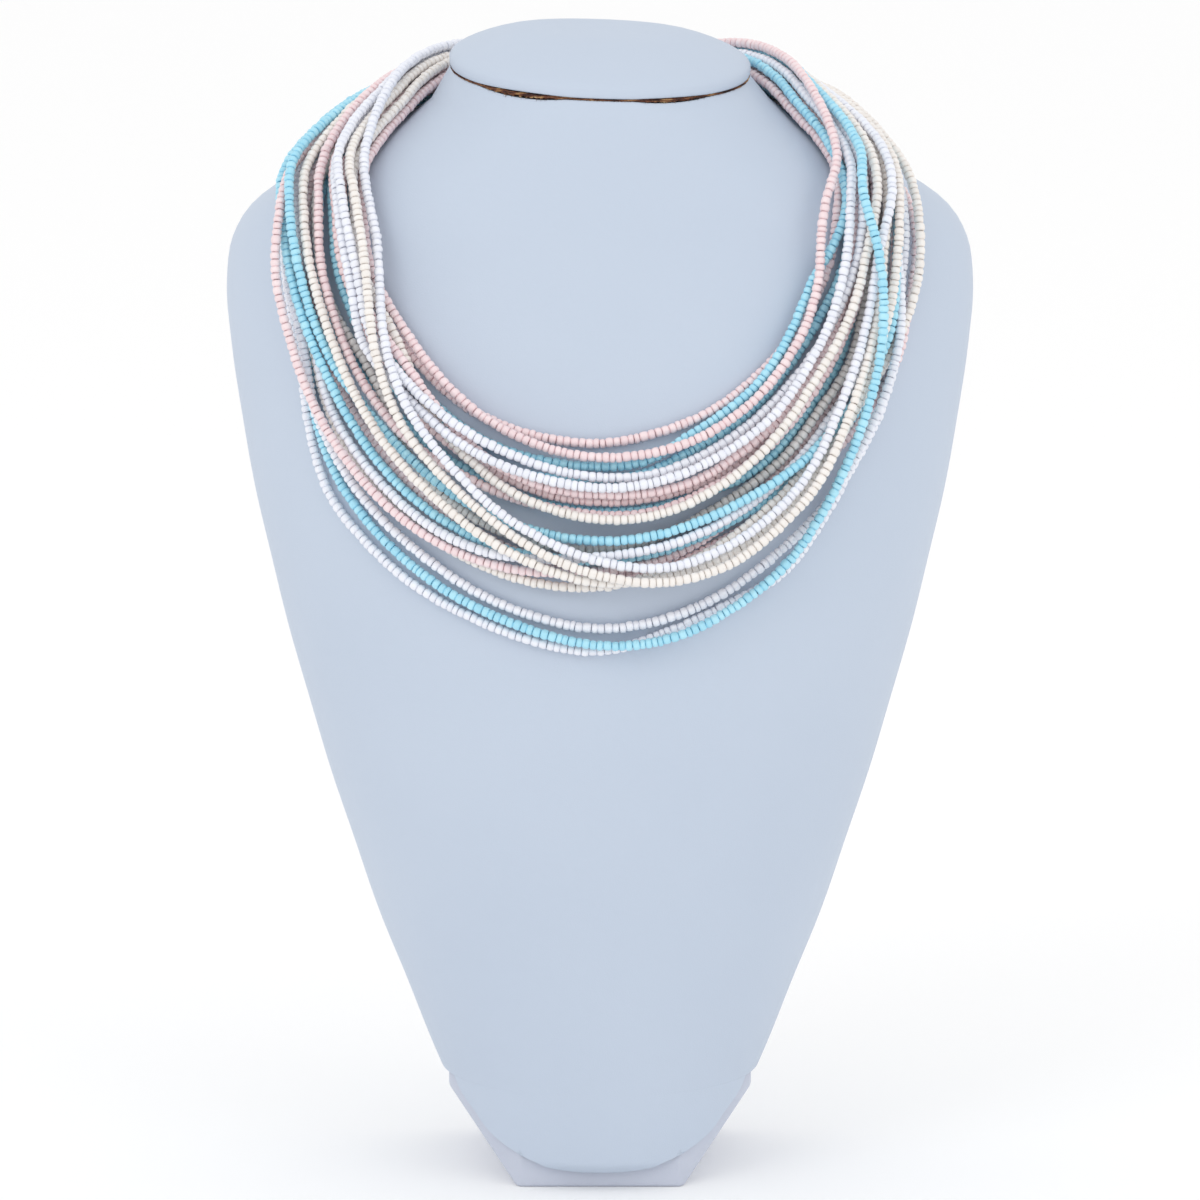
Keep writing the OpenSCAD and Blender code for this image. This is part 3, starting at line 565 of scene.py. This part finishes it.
# Each row: colour, order in the heap at the left end and at the right end, heights
STRANDS = [
    ["white", 7, 9.2, [38, 37, 30, 22.5, 11.5, 2.5, -0.7, -3.4, -5, -7.1, -8.6, -5.3, -2.4, -0.8, 5.5,
                       11.7, 16.9, 24.6, 34, 41, 43.2]],
    ["blue", 8, 30, [39.5, 39.5, 32, 24.5, 14.2, 7.2, 3.1, 0, -2.6, -5, -7.4, -7.1, -3.8, 0.3, 7.4,
                     15.4, 23.6, 33, 43, 50.5, 51]],
    ["white", 8.5, 10, [41.5, 41, 34, 27, 16.6, 10.4, 6.2, 3.3, 0.3, -2.2, -3.9, -2.7, 0, 3.7, 7.2,
                        12.8, 19.5, 27.4, 36.8, 44.2, 45.4]],
    ["pink", 9.5, 5, [42, 41, 32, 24, 17, 12.6, 9.4, 7.2, 6, 6.2, 7.6, 8.4, 11.4, 15.6, 19.7, 23.4, 27,
                      31, 35.6, 42.8, 44.4]],
    ["cream", 7.5, 9.5, [42.2, 41.8, 35, 27.5, 19, 13.8, 10.5, 8.2, 6.5, 5.1, 4.8, 6.6, 9.3, 13, 16.6,
                         19.2, 21.8, 25.8, 32.2, 39.4, 41.7]],
    ["white", 8.7, 9, [42, 41.8, 34.5, 28, 19.9, 15, 11.9, 9.5, 8.4, 8.7, 9.8, 10.9, 13, 15.5, 18.4, 22,
                       26, 31.6, 39.2, 45.1, 46.2]],
    ["pink", 6, 3.5, [42.5, 41.8, 35.5, 29.5, 23.2, 20, 16.6, 13.6, 11.4, 9, 7.4, 7.7, 10.3, 12.3, 14.2,
                      17, 19.4, 22.6, 30.3, 36.4, 39.2]],
    ["blue", 9, 8, [41.3, 40.6, 34.5, 28.4, 23.1, 18.2, 14.3, 11.5, 9.4, 8.6, 8.6, 9.8, 12.4, 14.2, 16,
                    18.4, 21.6, 26.4, 34.4, 41.4, 43.6]],
    ["blue", 13, 14, [41.9, 41.2, 36, 29.9, 25.2, 22.8, 19.8, 17, 15, 13.4, 12.4, 12.7, 14, 15.7, 17.3,
                      19.8, 22.6, 28.2, 37.4, 44.6, 45.7]],
    ["cream", 18, 15.5, [43.6, 43, 37, 31.6, 26.5, 22, 18.1, 14.9, 11.2, 8, 5.3, 5.6, 6.6, 9.7, 14,
                         18.6, 24, 30.3, 38, 44.8, 45.9]],
    # This cream strand lies low in the heap and its beads are painted greyer and darker: painted shade
    ["grey cream", 5, 6, [45.1, 44.2, 38.5, 33.6, 31, 26.5, 20, 15.6, 12.6, 11.2, 11, 12.6, 15.7, 18.2,
                          20.9, 25.2, 28.6, 35.4, 42.2, 46, 47]],
    ["pink", 16, 5.5, [47.3, 46.3, 40, 34.1, 29, 24.9, 21.9, 20.6, 19.2, 18.2, 17.2, 17.3, 19.3, 21.5,
                       24.5, 28, 32, 36.6, 42.8, 46.9, 48.1]],
    ["blue", 4, 4, [44.6, 43.6, 38, 32.5, 29, 26.3, 23.6, 21.9, 20, 18.6, 18, 18.2, 19.5, 19.8, 22.5,
                    26.5, 30, 36.2, 42.5, 46.6, 47.8]],
    ["blue", 3, 3, [49, 48.2, 42.5, 37.2, 32.4, 29.3, 27.4, 25.7, 23.3, 23.2, 23.2, 24, 26.3, 28.2,
                    30.5, 33.7, 37.2, 40.8, 44.8, 49.8, 50.4]],
    ["white", 15.5, 13, [50.5, 50, 45.4, 40, 33, 30.2, 27.6, 25.2, 23.6, 22.4, 21.5, 21.9, 23.2, 25.1,
                         27.2, 31, 34.8, 40, 45.6, 50.5, 51]],
    ["white", 17, 12, [50.9, 50.4, 46.2, 40.8, 34, 31.5, 29.2, 27.1, 25.6, 24.1, 23.2, 23.2, 24.6, 26.4,
                       28.6, 31.2, 34.4, 38.7, 43.6, 49, 49.8]],
    ["blue", 1, 6, [49.8, 49.4, 44, 39.4, 35.5, 32, 29.5, 27.3, 26, 25.4, 25, 25.2, 28.3, 30.4, 32.5,
                    36, 40, 44.5, 47.6, 50.6, 52.4]],
    ["cream", 14, 15, [51, 50.6, 45.9, 41.2, 37.8, 33.4, 28.4, 24.4, 20.6, 17.9, 16.4, 16.5, 18.5, 21.2,
                       24.7, 28.9, 32.6, 37.3, 43.2, 47.5, 48.7]],
    ["pink", 11, 5.3, [49.6, 49.2, 43.6, 38.8, 34, 29.8, 26.7, 24.2, 22.2, 20.3, 19.4, 19.5, 20.2, 22.1,
                       25, 28.6, 32, 36.9, 43, 47.2, 48.4]],
    ["pink", 15.4, 7.5, [50.1, 49.9, 44.6, 40.2, 36.3, 32.8, 29, 25.5, 22.8, 21, 20.6, 20.4, 21.3, 23.7,
                         26, 29.5, 33.2, 37.9, 43.4, 47.9, 49.1]],
    ["cream", 23, 17, [51.8, 51.5, 47.2, 41.7, 35.5, 28.8, 22.8, 18.7, 14.5, 10, 6.2, 4.1, 4.7, 8.1,
                       12.5, 19.4, 25.8, 32.6, 40.2, 45.4, 46.5]],
    ["pink", 2, 2, [50.3, 50.1, 44.9, 40.5, 37.3, 34.6, 32.2, 30.6, 29.6, 28.9, 28.7, 29.4, 30.4, 31.7,
                    33.6, 36, 38.6, 42.4, 46.8, 51.2, 51.6]],
    ["pink", 3, 19, [51.4, 51, 46.4, 42, 38.9, 35.8, 33.1, 30.5, 28.7, 27.2, 26.4, 26.6, 27.4, 29.1,
                     31.4, 34.6, 38.3, 43.4, 49.4, 53.4, 53.4]],
    ["white", 24, 24, [53.7, 52.9, 49.4, 43.9, 37.4, 31.2, 25.6, 21.2, 16.5, 12.5, 9.1, 7, 8.2, 11,
                       15.4, 22, 28, 34.7, 41.8, 45.7, 46.8]],
]
# The table's heights are at steps round the front. Behind it they run on to the nape, where the
# lowest strand has this height and the next ones follow in steps.
LAST_ANGLE = 100
ANGLE_STEP = 10
NAPE_LOW = 9
NAPE_STEP = 1.15
BACK_ANGLES = [112, 125, 137, 149, 163, 180]
# Extra gap by angle, where straight runs of strand would cut the shoulder or the neck
CORNER_GAPS = np.array([[70, 0], [80, 0.4], [90, 0.9], [100, 0.9], [112, 0.5], [137, 0.7], [149, 1.3],
                        [163, 1.3], [180, 0.2]])
# The heights hold for a strand this far off the bust. One that lies lower or higher moves along
# the line of sight in front, and square to the bust behind.
READ_LIFT = 3
SQUARE_FROM, SQUARE_TO = 60, 110
# Within this angle a strand changes from its left to its right order in the heap, and behind the
# next one it may slide sidewise to lie lower
ORDER_SWAP = 60
SLIDE_ANGLE = 65
SLIDES = [0, 1, -1, 2, -2]
SLIDE_COST = 0.8
half_angles = list(range(0, LAST_ANGLE + 1, ANGLE_STEP)) + BACK_ANGLES
STATIONS = [-angle for angle in reversed(half_angles)] + half_angles[1:]
COUNT = len(STRANDS)
PITCH = BEAD_D + STRAND_GAP


def depth_at(point):
    """How deep points lie in the bust: below 1 inside, 1 on its surface."""
    x, y, z = point[..., 0], point[..., 1], point[..., 2]
    side = sized(SIDE, z)
    in_front = y < side
    reach = np.where(in_front, side + sized(FRONT, z), sized(BACK, z) - side)
    power = np.where(in_front, FRONT_POWER, np.interp(z, *BACK_POWERS))
    return ((np.abs(x) / sized(HALF_W, z)) ** power + (np.abs(y - side) / reach) ** power) ** (1 / power)


def fan_point(angle, height, reach):
    a = math.radians(angle)
    return np.stack([reach * math.sin(a), FAN_Y - (height + reach * math.cos(a)) * LEAN,
                     FAN_Z + (height - reach * math.cos(a)) * LEAN], -1)


PROFILE_H = np.arange(-16, 65, 4.0)
REACH_MIN = 15.0
REACH_MAX = 190.0
HALVINGS = 12


def profile_at(angle):
    """The bust's surface in the half plane at an angle."""
    low, high = np.full(len(PROFILE_H), REACH_MIN), np.full(len(PROFILE_H), REACH_MAX)
    for _ in range(HALVINGS):
        middle = (low + high) / 2
        inside = depth_at(fan_point(angle, PROFILE_H, middle)) < 1
        low, high = np.where(inside, middle, low), np.where(inside, high, middle)
    return (low + high) / 2


PROFILES = {angle: profile_at(angle) for angle in half_angles}


def ramp(value, start, stop):
    share = min(1, max(0, (value - start) / (stop - start)))
    return share * share * (3 - 2 * share)


def height_of(k, angle):
    heights = STRANDS[k][3]
    if abs(angle) <= LAST_ANGLE:
        return heights[(angle + LAST_ANGLE) // ANGLE_STEP]
    end = 0 if angle < 0 else -1
    below = sum(1 for j in range(COUNT) if (STRANDS[j][3][end], j) < (heights[end], k))
    nape = NAPE_LOW + NAPE_STEP * below
    return heights[end] + (nape - heights[end]) * ramp(abs(angle), LAST_ANGLE, 180)


HEIGHTS = np.array([[height_of(k, angle) for angle in STATIONS] for k in range(COUNT)])


def gap_left(k, j, i):
    """How much of the sidewise gap between two strands is left halfway to the next stations."""
    here = HEIGHTS[k, i] - HEIGHTS[j, i]
    before = HEIGHTS[k, i - 1] - HEIGHTS[j, i - 1] if i > 0 else here
    after = HEIGHTS[k, i + 1] - HEIGHTS[j, i + 1] if i < len(STATIONS) - 1 else here
    if here * before <= 0 or here * after <= 0:
        return 0
    return min(1, (here + before) / (2 * here), (here + after) / (2 * here))


def profile_reach(i, height):
    return np.interp(height, PROFILE_H, PROFILES[abs(STATIONS[i])])


def seat_at(i):
    """How far a strand's middle lies off the bust at a station."""
    return BEAD_D / 2 + SEAT_GAP + np.interp(abs(STATIONS[i]), CORNER_GAPS[:, 0], CORNER_GAPS[:, 1])


def out_at(i, height):
    """The direction square off the bust in a station's half plane."""
    slope = (profile_reach(i, height + 1) - profile_reach(i, height - 1)) / 2
    return np.stack([-slope, np.ones_like(slope)], -1) / np.sqrt(1 + slope * slope)[..., None]


def laid_heap(i):
    """Lays the strands at one station in their order, each clear of the bust and of those before."""
    angle = STATIONS[i]
    swap = ramp(angle, -ORDER_SWAP, ORDER_SWAP)
    order = sorted((STRANDS[k][1] + (STRANDS[k][2] - STRANDS[k][1]) * swap, k) for k in range(COUNT))
    sight = np.array([SIGHT_UP, math.cos(math.radians(angle)) * SIGHT_OUT])
    square = ramp(abs(angle), SQUARE_FROM, SQUARE_TO)
    seat = seat_at(i)
    laid = {}
    for _, k in order:
        h = HEIGHTS[k, i]
        out = out_at(i, h)
        way = sight / np.linalg.norm(sight) * (1 - square) + out * square
        way = way / np.linalg.norm(way)
        base = np.array([h, profile_reach(i, h)]) + out * READ_LIFT + way * (seat - READ_LIFT) / (way @ out)
        side = np.array([-way[1], way[0]])
        if side @ np.array([out[1], -out[0]]) < 0:
            side = -side
        best = None
        for slide in (SLIDES if abs(angle) > SLIDE_ANGLE else [0]):
            at = base + side * slide
            here_out = out_at(i, at[0])
            gap = (at - np.array([at[0], profile_reach(i, at[0])])) @ here_out
            lift = max(0, (seat - gap) / max(0.5, way @ here_out))
            for j, spot in laid.items():
                apart = spot - at
                up, aside = apart @ way, -(apart @ side)
                above = HEIGHTS[k, i] - HEIGHTS[j, i]
                over = 0 if aside * above <= 0 else abs(aside) * gap_left(k, j, i)
                if over < PITCH:
                    lift = max(lift, up + math.sqrt(PITCH * PITCH - over * over))
            cost = lift + SLIDE_COST * abs(slide)
            if best is None or cost < best[0] - 1e-6:
                best = (cost, at + way * lift)
        laid[k] = best[1]
    return np.array([laid[k] for k in range(COUNT)])


# Behind the neck: columns by height, layers by order in the heap
LAYERS = 4
COLUMN_STEP = 3.35
LAYER_STEP = 2.95
COLUMN_LOW = 12
COLUMNS_W = COLUMN_STEP * (math.ceil(COUNT / LAYERS) - 1)
HEAP_UNTIL = 90
LAYERS_FROM = 125
SLOPE_REACH = 6


def layer_places(end):
    """Column and layer of each strand at one end of the table."""
    rank = sorted(range(COUNT), key=lambda k: (STRANDS[k][3][end], k))
    places = {}
    for start in range(0, COUNT, LAYERS):
        group = sorted(rank[start:start + LAYERS], key=lambda k: STRANDS[k][1 if end == 0 else 2])
        for layer, k in enumerate(group):
            places[k] = (start // LAYERS, layer)
    return places


PLACES = {0: layer_places(0), -1: layer_places(-1)}


def layered_heap(i):
    """Sets the strands in their columns and layers on the bust at one station."""
    angle = STATIONS[i]
    end = 0 if angle < 0 else -1
    share = ramp(abs(angle), LAST_ANGLE, 180)
    middle = sum(row[3][end] for row in STRANDS) / COUNT
    base = (middle - COLUMNS_W / 2) * (1 - share) + COLUMN_LOW * share
    mid = base + COLUMNS_W / 2
    rise_across = profile_reach(i, mid + SLOPE_REACH) - profile_reach(i, mid - SLOPE_REACH)
    slope = rise_across / (2 * SLOPE_REACH)
    out = np.array([-slope, 1]) / math.hypot(slope, 1)
    at = np.array([mid, profile_reach(i, mid)])
    across = np.linspace(-1, 1, 15) * (COLUMNS_W / 2 + 2) + mid
    rise = ((np.stack([across, profile_reach(i, across)], -1) - at) @ out).max()
    spots = []
    for k in range(COUNT):
        column, layer = PLACES[end][k]
        h = base + column * COLUMN_STEP + (COLUMN_STEP / 2 if layer % 2 else 0)
        off = seat_at(i) + rise + layer * LAYER_STEP
        spots.append(at + np.array([out[1], -out[0]]) * (h - mid) + out * off)
    return np.array(spots)


def first_spots(i):
    share = ramp(abs(STATIONS[i]), HEAP_UNTIL, LAYERS_FROM)
    if share == 0:
        return laid_heap(i)
    return laid_heap(i) * (1 - share) + layered_heap(i) * share


# Rounds that draw each strand's run even and push strands apart that come too near each other.
# The last ones only push.
ROUNDS = 20
HARD_ROUNDS = 4
NEAR_D = 1.133 * BEAD_D
PUSH_SHARE = 0.4
PUSH_MOST = 1
EVEN_SHARE = 0.3
EVEN_UNTIL = 112
# Set as a strand's gap to itself, so that it isn't pushed by itself
FAR = 99


def pushes(spots):
    """How far strands that lie too near each other push apart, for rows of spots."""
    apart = spots[:, :, None] - spots[:, None]
    gap = np.linalg.norm(apart, axis=-1)
    gap[:, np.arange(COUNT), np.arange(COUNT)] = FAR
    short = np.maximum(0, NEAR_D - gap)
    return (apart / np.maximum(gap, 1e-6)[..., None] * (PUSH_SHARE * short)[..., None]).sum(2)


every_station = range(len(STATIONS))
spots = np.array([first_spots(i) for i in every_station])
table = np.array([np.stack([HEIGHTS[:, i], profile_reach(i, HEIGHTS[:, i])], -1) for i in every_station])
evened = np.array([EVEN_SHARE if abs(angle) <= EVEN_UNTIL else 0 for angle in STATIONS])[:, None, None]
for round_number in range(ROUNDS):
    if round_number < ROUNDS - HARD_ROUNDS:
        off = spots - table
        mean = off.copy()
        mean[1:-1] = (off[:-2] + off[2:]) / 2
        spots = spots + evened * (mean - off)
    push = pushes(spots)
    between = pushes((spots[1:] + spots[:-1]) / 2)
    push[1:] += between
    push[:-1] += between
    push *= np.minimum(1, PUSH_MOST / np.maximum(np.linalg.norm(push, axis=-1, keepdims=True), 1e-9))
    spots = spots + push
    for i in every_station:
        out = out_at(i, spots[i, :, 0])
        gap = (spots[i, :, 1] - profile_reach(i, spots[i, :, 0])) * out[:, 1]
        spots[i] += out * np.maximum(0, seat_at(i) - gap)[:, None]

ROUTES = []
for k in range(COUNT):
    route = np.array([fan_point(angle, *spots[i, k]) for i, angle in enumerate(STATIONS)])
    route[0, 0] -= CLASP_W / 2 + END_GAP
    route[-1, 0] += CLASP_W / 2 + END_GAP
    ROUTES.append(route)

# Strings of seed beads
# Opaque glass seed beads of about 3 mm, cut from tube and tumbled, so each is a short rounded
# barrel, longer or shorter than the next. They sit close together on a thread.
BEAD_STEP = 2.07
SPAN_STEPS = 24
BEAD_SIDES = 9
THREAD_SIDES = 5
THREAD_R = 0.5
# How the beads settle in each round: the share by which beads that overlap are pushed apart, a
# bent string is straightened, a bead is held to its route, and a stretched link is mended
SETTLE_ROUNDS = 60
SETTLE_PUSH = 0.35
SETTLE_BEND = 0.25
SETTLE_HOLD = 0.03
SETTLE_LINK = 0.45
LINK_ROUNDS = 3
# Beads nearer than this are looked up as pairs, once in so many rounds
PAIR_REACH = 4.6
PAIR_ROUNDS = 8
BUST_CLEAR = 0.05
# Cells of a grid are numbered with this many on each axis
GRID = 1024


def eased_line(route):
    """A smooth line through a route's points, as bead centres one bead step apart."""
    chord = np.concatenate([[0], np.cumsum(np.linalg.norm(np.diff(route, axis=0), axis=1))])
    run = np.diff(chord)[:, None]
    rise = np.diff(route, axis=0) / run
    tangent = np.empty_like(route)
    tangent[0], tangent[-1] = rise[0], rise[-1]
    tangent[1:-1] = (rise[:-1] * run[1:] + rise[1:] * run[:-1]) / (run[1:] + run[:-1])
    u = np.linspace(0, 1, SPAN_STEPS + 1)[:-1, None, None]
    line = ((2 * u**3 - 3 * u**2 + 1) * route[:-1] + (u**3 - 2 * u**2 + u) * run * tangent[:-1]
            + (3 * u**2 - 2 * u**3) * route[1:] + (u**3 - u**2) * run * tangent[1:])
    line = np.concatenate([line.transpose(1, 0, 2).reshape(-1, 3), route[-1:]])
    way = np.concatenate([[0], np.cumsum(np.linalg.norm(np.diff(line, axis=0), axis=1))])
    beads = int(way[-1] // BEAD_STEP)
    at = np.linspace(0, way[-1], beads + 1)
    return np.stack([np.interp(at, way, line[:, c]) for c in range(3)], -1)


def clear_of_bust(points, least):
    """Moves points out that are nearer to the bust's skin than the least distance."""
    reach = 0.2
    depth = depth_at(points)
    slope = np.stack([(depth_at(points + reach * axis) - depth_at(points - reach * axis)) / (2 * reach)
                      for axis in np.eye(3)], -1)
    steep = np.linalg.norm(slope, axis=1)
    off = (depth - 1) / steep
    short = np.maximum(0, least - off)
    return points + slope / steep[:, None] * short[:, None]


def near_pairs(points, owner, within):
    """Pairs of beads of different strands that lie within a distance, by sorting into cells."""
    cell = np.floor(points / within).astype(np.int64) + GRID // 2
    key = (cell[:, 0] * GRID + cell[:, 1]) * GRID + cell[:, 2]
    order = np.argsort(key, kind="stable")
    ranked = key[order]
    first, second = [], []
    for dx in (-1, 0, 1):
        for dy in (-1, 0, 1):
            for dz in (-1, 0, 1):
                shift = (dx * GRID + dy) * GRID + dz
                start = np.searchsorted(ranked, key + shift, "left")
                stop = np.searchsorted(ranked, key + shift, "right")
                size = stop - start
                mine = np.repeat(np.arange(len(points)), size)
                if len(mine) == 0:
                    continue
                step = np.arange(len(mine)) - np.repeat(np.cumsum(size) - size, size)
                other = order[np.repeat(start, size) + step]
                keep = (mine < other) & (owner[mine] != owner[other])
                first.append(mine[keep])
                second.append(other[keep])
    first, second = np.concatenate(first), np.concatenate(second)
    close = np.linalg.norm(points[first] - points[second], axis=1) < within
    return first[close], second[close]


def settled(lines, rounds):
    """Lets beads push each other apart and stay off the bust, each string kept near its length."""
    sizes = [len(line) for line in lines]
    points = np.concatenate(lines)
    start = points.copy()
    owner = np.repeat(np.arange(len(lines)), sizes)
    linked = np.flatnonzero(owner[:-1] == owner[1:])
    inner = np.flatnonzero((owner[:-2] == owner[2:])) + 1
    ends = np.concatenate([[0], np.cumsum(sizes)[:-1], np.cumsum(sizes) - 1])
    loose = np.ones(len(points))
    loose[ends] = 0
    for round_number in range(rounds):
        if round_number % PAIR_ROUNDS == 0:
            first, second = near_pairs(points, owner, PAIR_REACH)
        apart = points[second] - points[first]
        gap = np.linalg.norm(apart, axis=1)
        short = np.maximum(0, BEAD_D - gap)
        push = apart / np.maximum(gap, 1e-6)[:, None] * (SETTLE_PUSH * short)[:, None]
        moved = np.zeros_like(points)
        np.add.at(moved, first, -push)
        np.add.at(moved, second, push)
        points = points + moved * loose[:, None]
        bend = (points[inner - 1] + points[inner + 1]) / 2 - points[inner]
        points[inner] += SETTLE_BEND * bend
        points += SETTLE_HOLD * (start - points)
        for _ in range(LINK_ROUNDS):
            link = points[linked + 1] - points[linked]
            long = np.linalg.norm(link, axis=1)
            mend = link * (SETTLE_LINK * (long - BEAD_STEP) / long)[:, None]
            moved = np.zeros_like(points)
            moved[linked] += mend
            moved[linked + 1] -= mend
            points += moved * loose[:, None]
        points = clear_of_bust(points, BEAD_D / 2 + BUST_CLEAR)
    return np.split(points, np.cumsum(sizes)[:-1])


LINES = settled([eased_line(route) for route in ROUTES], SETTLE_ROUNDS)

# A bead's outline from the hole at one end to the hole at the other: along the string, and radius
BEAD_OUTLINE = np.array([
    [-1.0, 0.5], [-0.94, 0.77], [-0.6, 0.945], [0, 1.01], [0.6, 0.945], [0.94, 0.77], [1.0, 0.5]])
# How far each ring of the outline turns to painted shade: full at the holes, where beads meet, and none
# round the middle
BEAD_END_SHADE = np.array([1, 0.6, 0.08, 0, 0.08, 0.6, 1])
# How much beads differ: in length, in radius, in tilt, and in mm off the thread
LENGTH_SPREAD = 0.13
RADIUS_SPREAD = 0.035
TILT_SPREAD = 0.05
OFF_SPREAD = 0.06
LENGTH_LIMITS = (0.68, 1.36)
RADIUS_LIMITS = (0.9, 1.045)
# The share of its place on the string that a bead fills
BEAD_FILL = 0.995


def square_pair(along):
    """Two directions square to each of the given ones."""
    helper = np.where(np.abs(along[:, 2:3]) < 0.9, [[0, 0, 1.0]], [[1.0, 0, 0]])
    up = np.cross(along, helper)
    up = up / np.linalg.norm(up, axis=1)[:, None]
    return up, np.cross(along, up)


def strung(name, line, seed):
    """One mesh of all the beads of a string, with its thread. Each bead has its own size and tone."""
    own = np.random.default_rng(seed)
    way = np.concatenate([[0], np.cumsum(np.linalg.norm(np.diff(line, axis=0), axis=1))])
    count = len(line) - 1
    lengths = (1 + own.normal(0, LENGTH_SPREAD, count)).clip(*LENGTH_LIMITS)
    bounds = np.concatenate([[0], np.cumsum(lengths)]) / lengths.sum() * way[-1]

    def place_at(run):
        return np.stack([np.interp(run, way, line[:, c]) for c in range(3)], -1)

    step = np.diff(bounds)
    centres = place_at((bounds[:-1] + bounds[1:]) / 2)
    along = place_at(bounds[1:]) - place_at(bounds[:-1])
    along = along / np.linalg.norm(along, axis=1)[:, None] + own.normal(0, TILT_SPREAD, (count, 3))
    along = along / np.linalg.norm(along, axis=1)[:, None]
    up, across = square_pair(along)
    radius = BEAD_D / 2 * (1 + own.normal(0, RADIUS_SPREAD, count)).clip(*RADIUS_LIMITS)
    half = step / 2 * BEAD_FILL
    off_up = own.normal(0, OFF_SPREAD, (count, 1))
    off_across = own.normal(0, OFF_SPREAD, (count, 1))
    centres = centres + up * off_up + across * off_across
    spin = own.uniform(0, 2 * math.pi, count)[:, None]
    side_turn = turns_round(BEAD_SIDES) + spin
    to_up = np.cos(side_turn)[:, :, None] * up[:, None]
    to_across = np.sin(side_turn)[:, :, None] * across[:, None]
    round_way = to_up + to_across
    beside = half[:, None] * BEAD_OUTLINE[:, 0]
    around = radius[:, None] * BEAD_OUTLINE[:, 1]
    beads = (centres[:, None, None] + along[:, None, None] * beside[:, :, None, None]
             + round_way[:, None] * around[:, :, None, None])
    bead_points = len(BEAD_OUTLINE) * BEAD_SIDES
    bead_quads = loop_quads(len(BEAD_OUTLINE), BEAD_SIDES, True)
    faces = (np.arange(count)[:, None, None] * bead_points + bead_quads).reshape(-1, 4).tolist()
    line_way = np.gradient(line, axis=0)
    thread_up, thread_across = square_pair(line_way / np.linalg.norm(line_way, axis=1)[:, None])
    turns = turns_round(THREAD_SIDES)[None, :, None]
    thread_round = np.cos(turns) * thread_up[:, None] + np.sin(turns) * thread_across[:, None]
    thread = line[:, None] + THREAD_R * thread_round
    first = count * bead_points
    last = first + len(line) * THREAD_SIDES
    faces += (loop_quads(len(line), THREAD_SIDES, False) + first).tolist()
    faces += [list(range(first, first + THREAD_SIDES)), list(range(last - THREAD_SIDES, last))]
    tones = np.concatenate([np.repeat(own.uniform(0, 1, count), bead_points), np.full(last - first, 0.5)])
    # Shares of painted shade: full at each bead's holes, less towards its middle, and full on the thread
    ends = np.concatenate([np.tile(np.repeat(BEAD_END_SHADE, BEAD_SIDES), count), np.ones(last - first)])
    points = np.concatenate([beads.reshape(-1, 3), thread.reshape(-1, 3)])
    made = from_points(name, points, faces, (("bead_tone", tones), ("bead_end_shade", ends)))
    bpy.ops.object.shade_smooth()
    return made


def bead_glass(name, dark, light, gap):
    finish = Finish(name)
    tone = finish.node("Attribute", {"attribute_name": "bead_tone"}, None, "Fac")
    end = finish.node("Attribute", {"attribute_name": "bead_end_shade"}, None, "Fac")
    bloom = finish.noise(finish.place(), 700.0, 2.0)
    body_colour = finish.mixed(tone * 0.75 + bloom * 0.25, dark, light)
    return finish.surface({
        # Towards the holes the colour turns to the gap colour, painted shade for the gaps between beads
        "Base Color": finish.mixed(end * 0.85, body_colour, gap),
        "Roughness": 0.32 + bloom * 0.2,
        "Coat Weight": 0.1,
        "Coat Roughness": 0.25,
        "Normal": finish.bumped(bloom, 0.00008, 0.5),
    })


# Each colour's darker and lighter beads, and its deeper tint towards the holes, painted shade for the gaps
BEAD_TONES = {
    "white": [(0.79, 0.81, 0.88, 1), (0.87, 0.885, 0.945, 1), (0.76, 0.785, 0.88, 1)],
    "blue": [(0.33, 0.68, 0.84, 1), (0.46, 0.80, 0.92, 1), (0.24, 0.61, 0.82, 1)],
    "pink": [(0.84, 0.67, 0.69, 1), (0.90, 0.76, 0.775, 1), (0.80, 0.55, 0.57, 1)],
    "cream": [(0.83, 0.79, 0.755, 1), (0.89, 0.86, 0.83, 1), (0.79, 0.72, 0.66, 1)],
    # Cream beads painted greyer and darker: painted shade for a strand low in the heap
    "grey cream": [(0.60, 0.595, 0.585, 1), (0.73, 0.72, 0.71, 1), (0.52, 0.50, 0.48, 1)],
}
BEAD_GLASS = {colour: bead_glass(colour.replace(" ", "_") + "_beads", *tones)
              for colour, tones in BEAD_TONES.items()}
for k, line in enumerate(LINES):
    colour = STRANDS[k][0]
    string = strung("bead_string_%02d" % (k + 1), line, 100 + k)
    string.data.materials.append(BEAD_GLASS[colour])
    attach(string, "root")
    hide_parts("strand_%02d" % (k + 1))

# Clasp
# A plain metal bar at the nape that takes both ends of every string, with softened edges and
# brushed along its length.
CLASP_EDGE = 0.9
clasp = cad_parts["clasp"]
clasp_bar = bpy.data.objects.new("clasp_bar", clasp.data.copy())
clasp_bar.data.name = "clasp_bar"
linked_alone(clasp_bar)
bpy.ops.object.mode_set(mode="EDIT")
bpy.ops.mesh.select_all(action="SELECT")
bpy.ops.mesh.remove_doubles(threshold=MERGE_WITHIN)
bpy.ops.mesh.dissolve_limited(angle_limit=math.radians(5))
bpy.ops.mesh.normals_make_consistent(inside=False)
bpy.ops.object.mode_set(mode="OBJECT")
edges_rounded(clasp_bar, "softened_edges", CLASP_EDGE, 4, "ANGLE")
finish = Finish("brushed_clasp")
stretched = finish.node("Mapping", None, {"Vector": finish.place(), "Scale": (4000.0, 4000.0, 60.0)})
brushing = finish.noise(stretched, 1.0, 3.0)
brushed_clasp = finish.surface({
    "Base Color": finish.mixed(brushing, (0.52, 0.52, 0.53, 1), (0.68, 0.68, 0.69, 1)),
    "Metallic": 1.0,
    "Roughness": 0.25 + brushing * 0.2,
    "Normal": finish.bumped(brushing, 0.00003, 0.4),
})
clasp_bar.data.materials.clear()
clasp_bar.data.materials.append(brushed_clasp)
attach(clasp_bar, "root")
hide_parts("clasp")
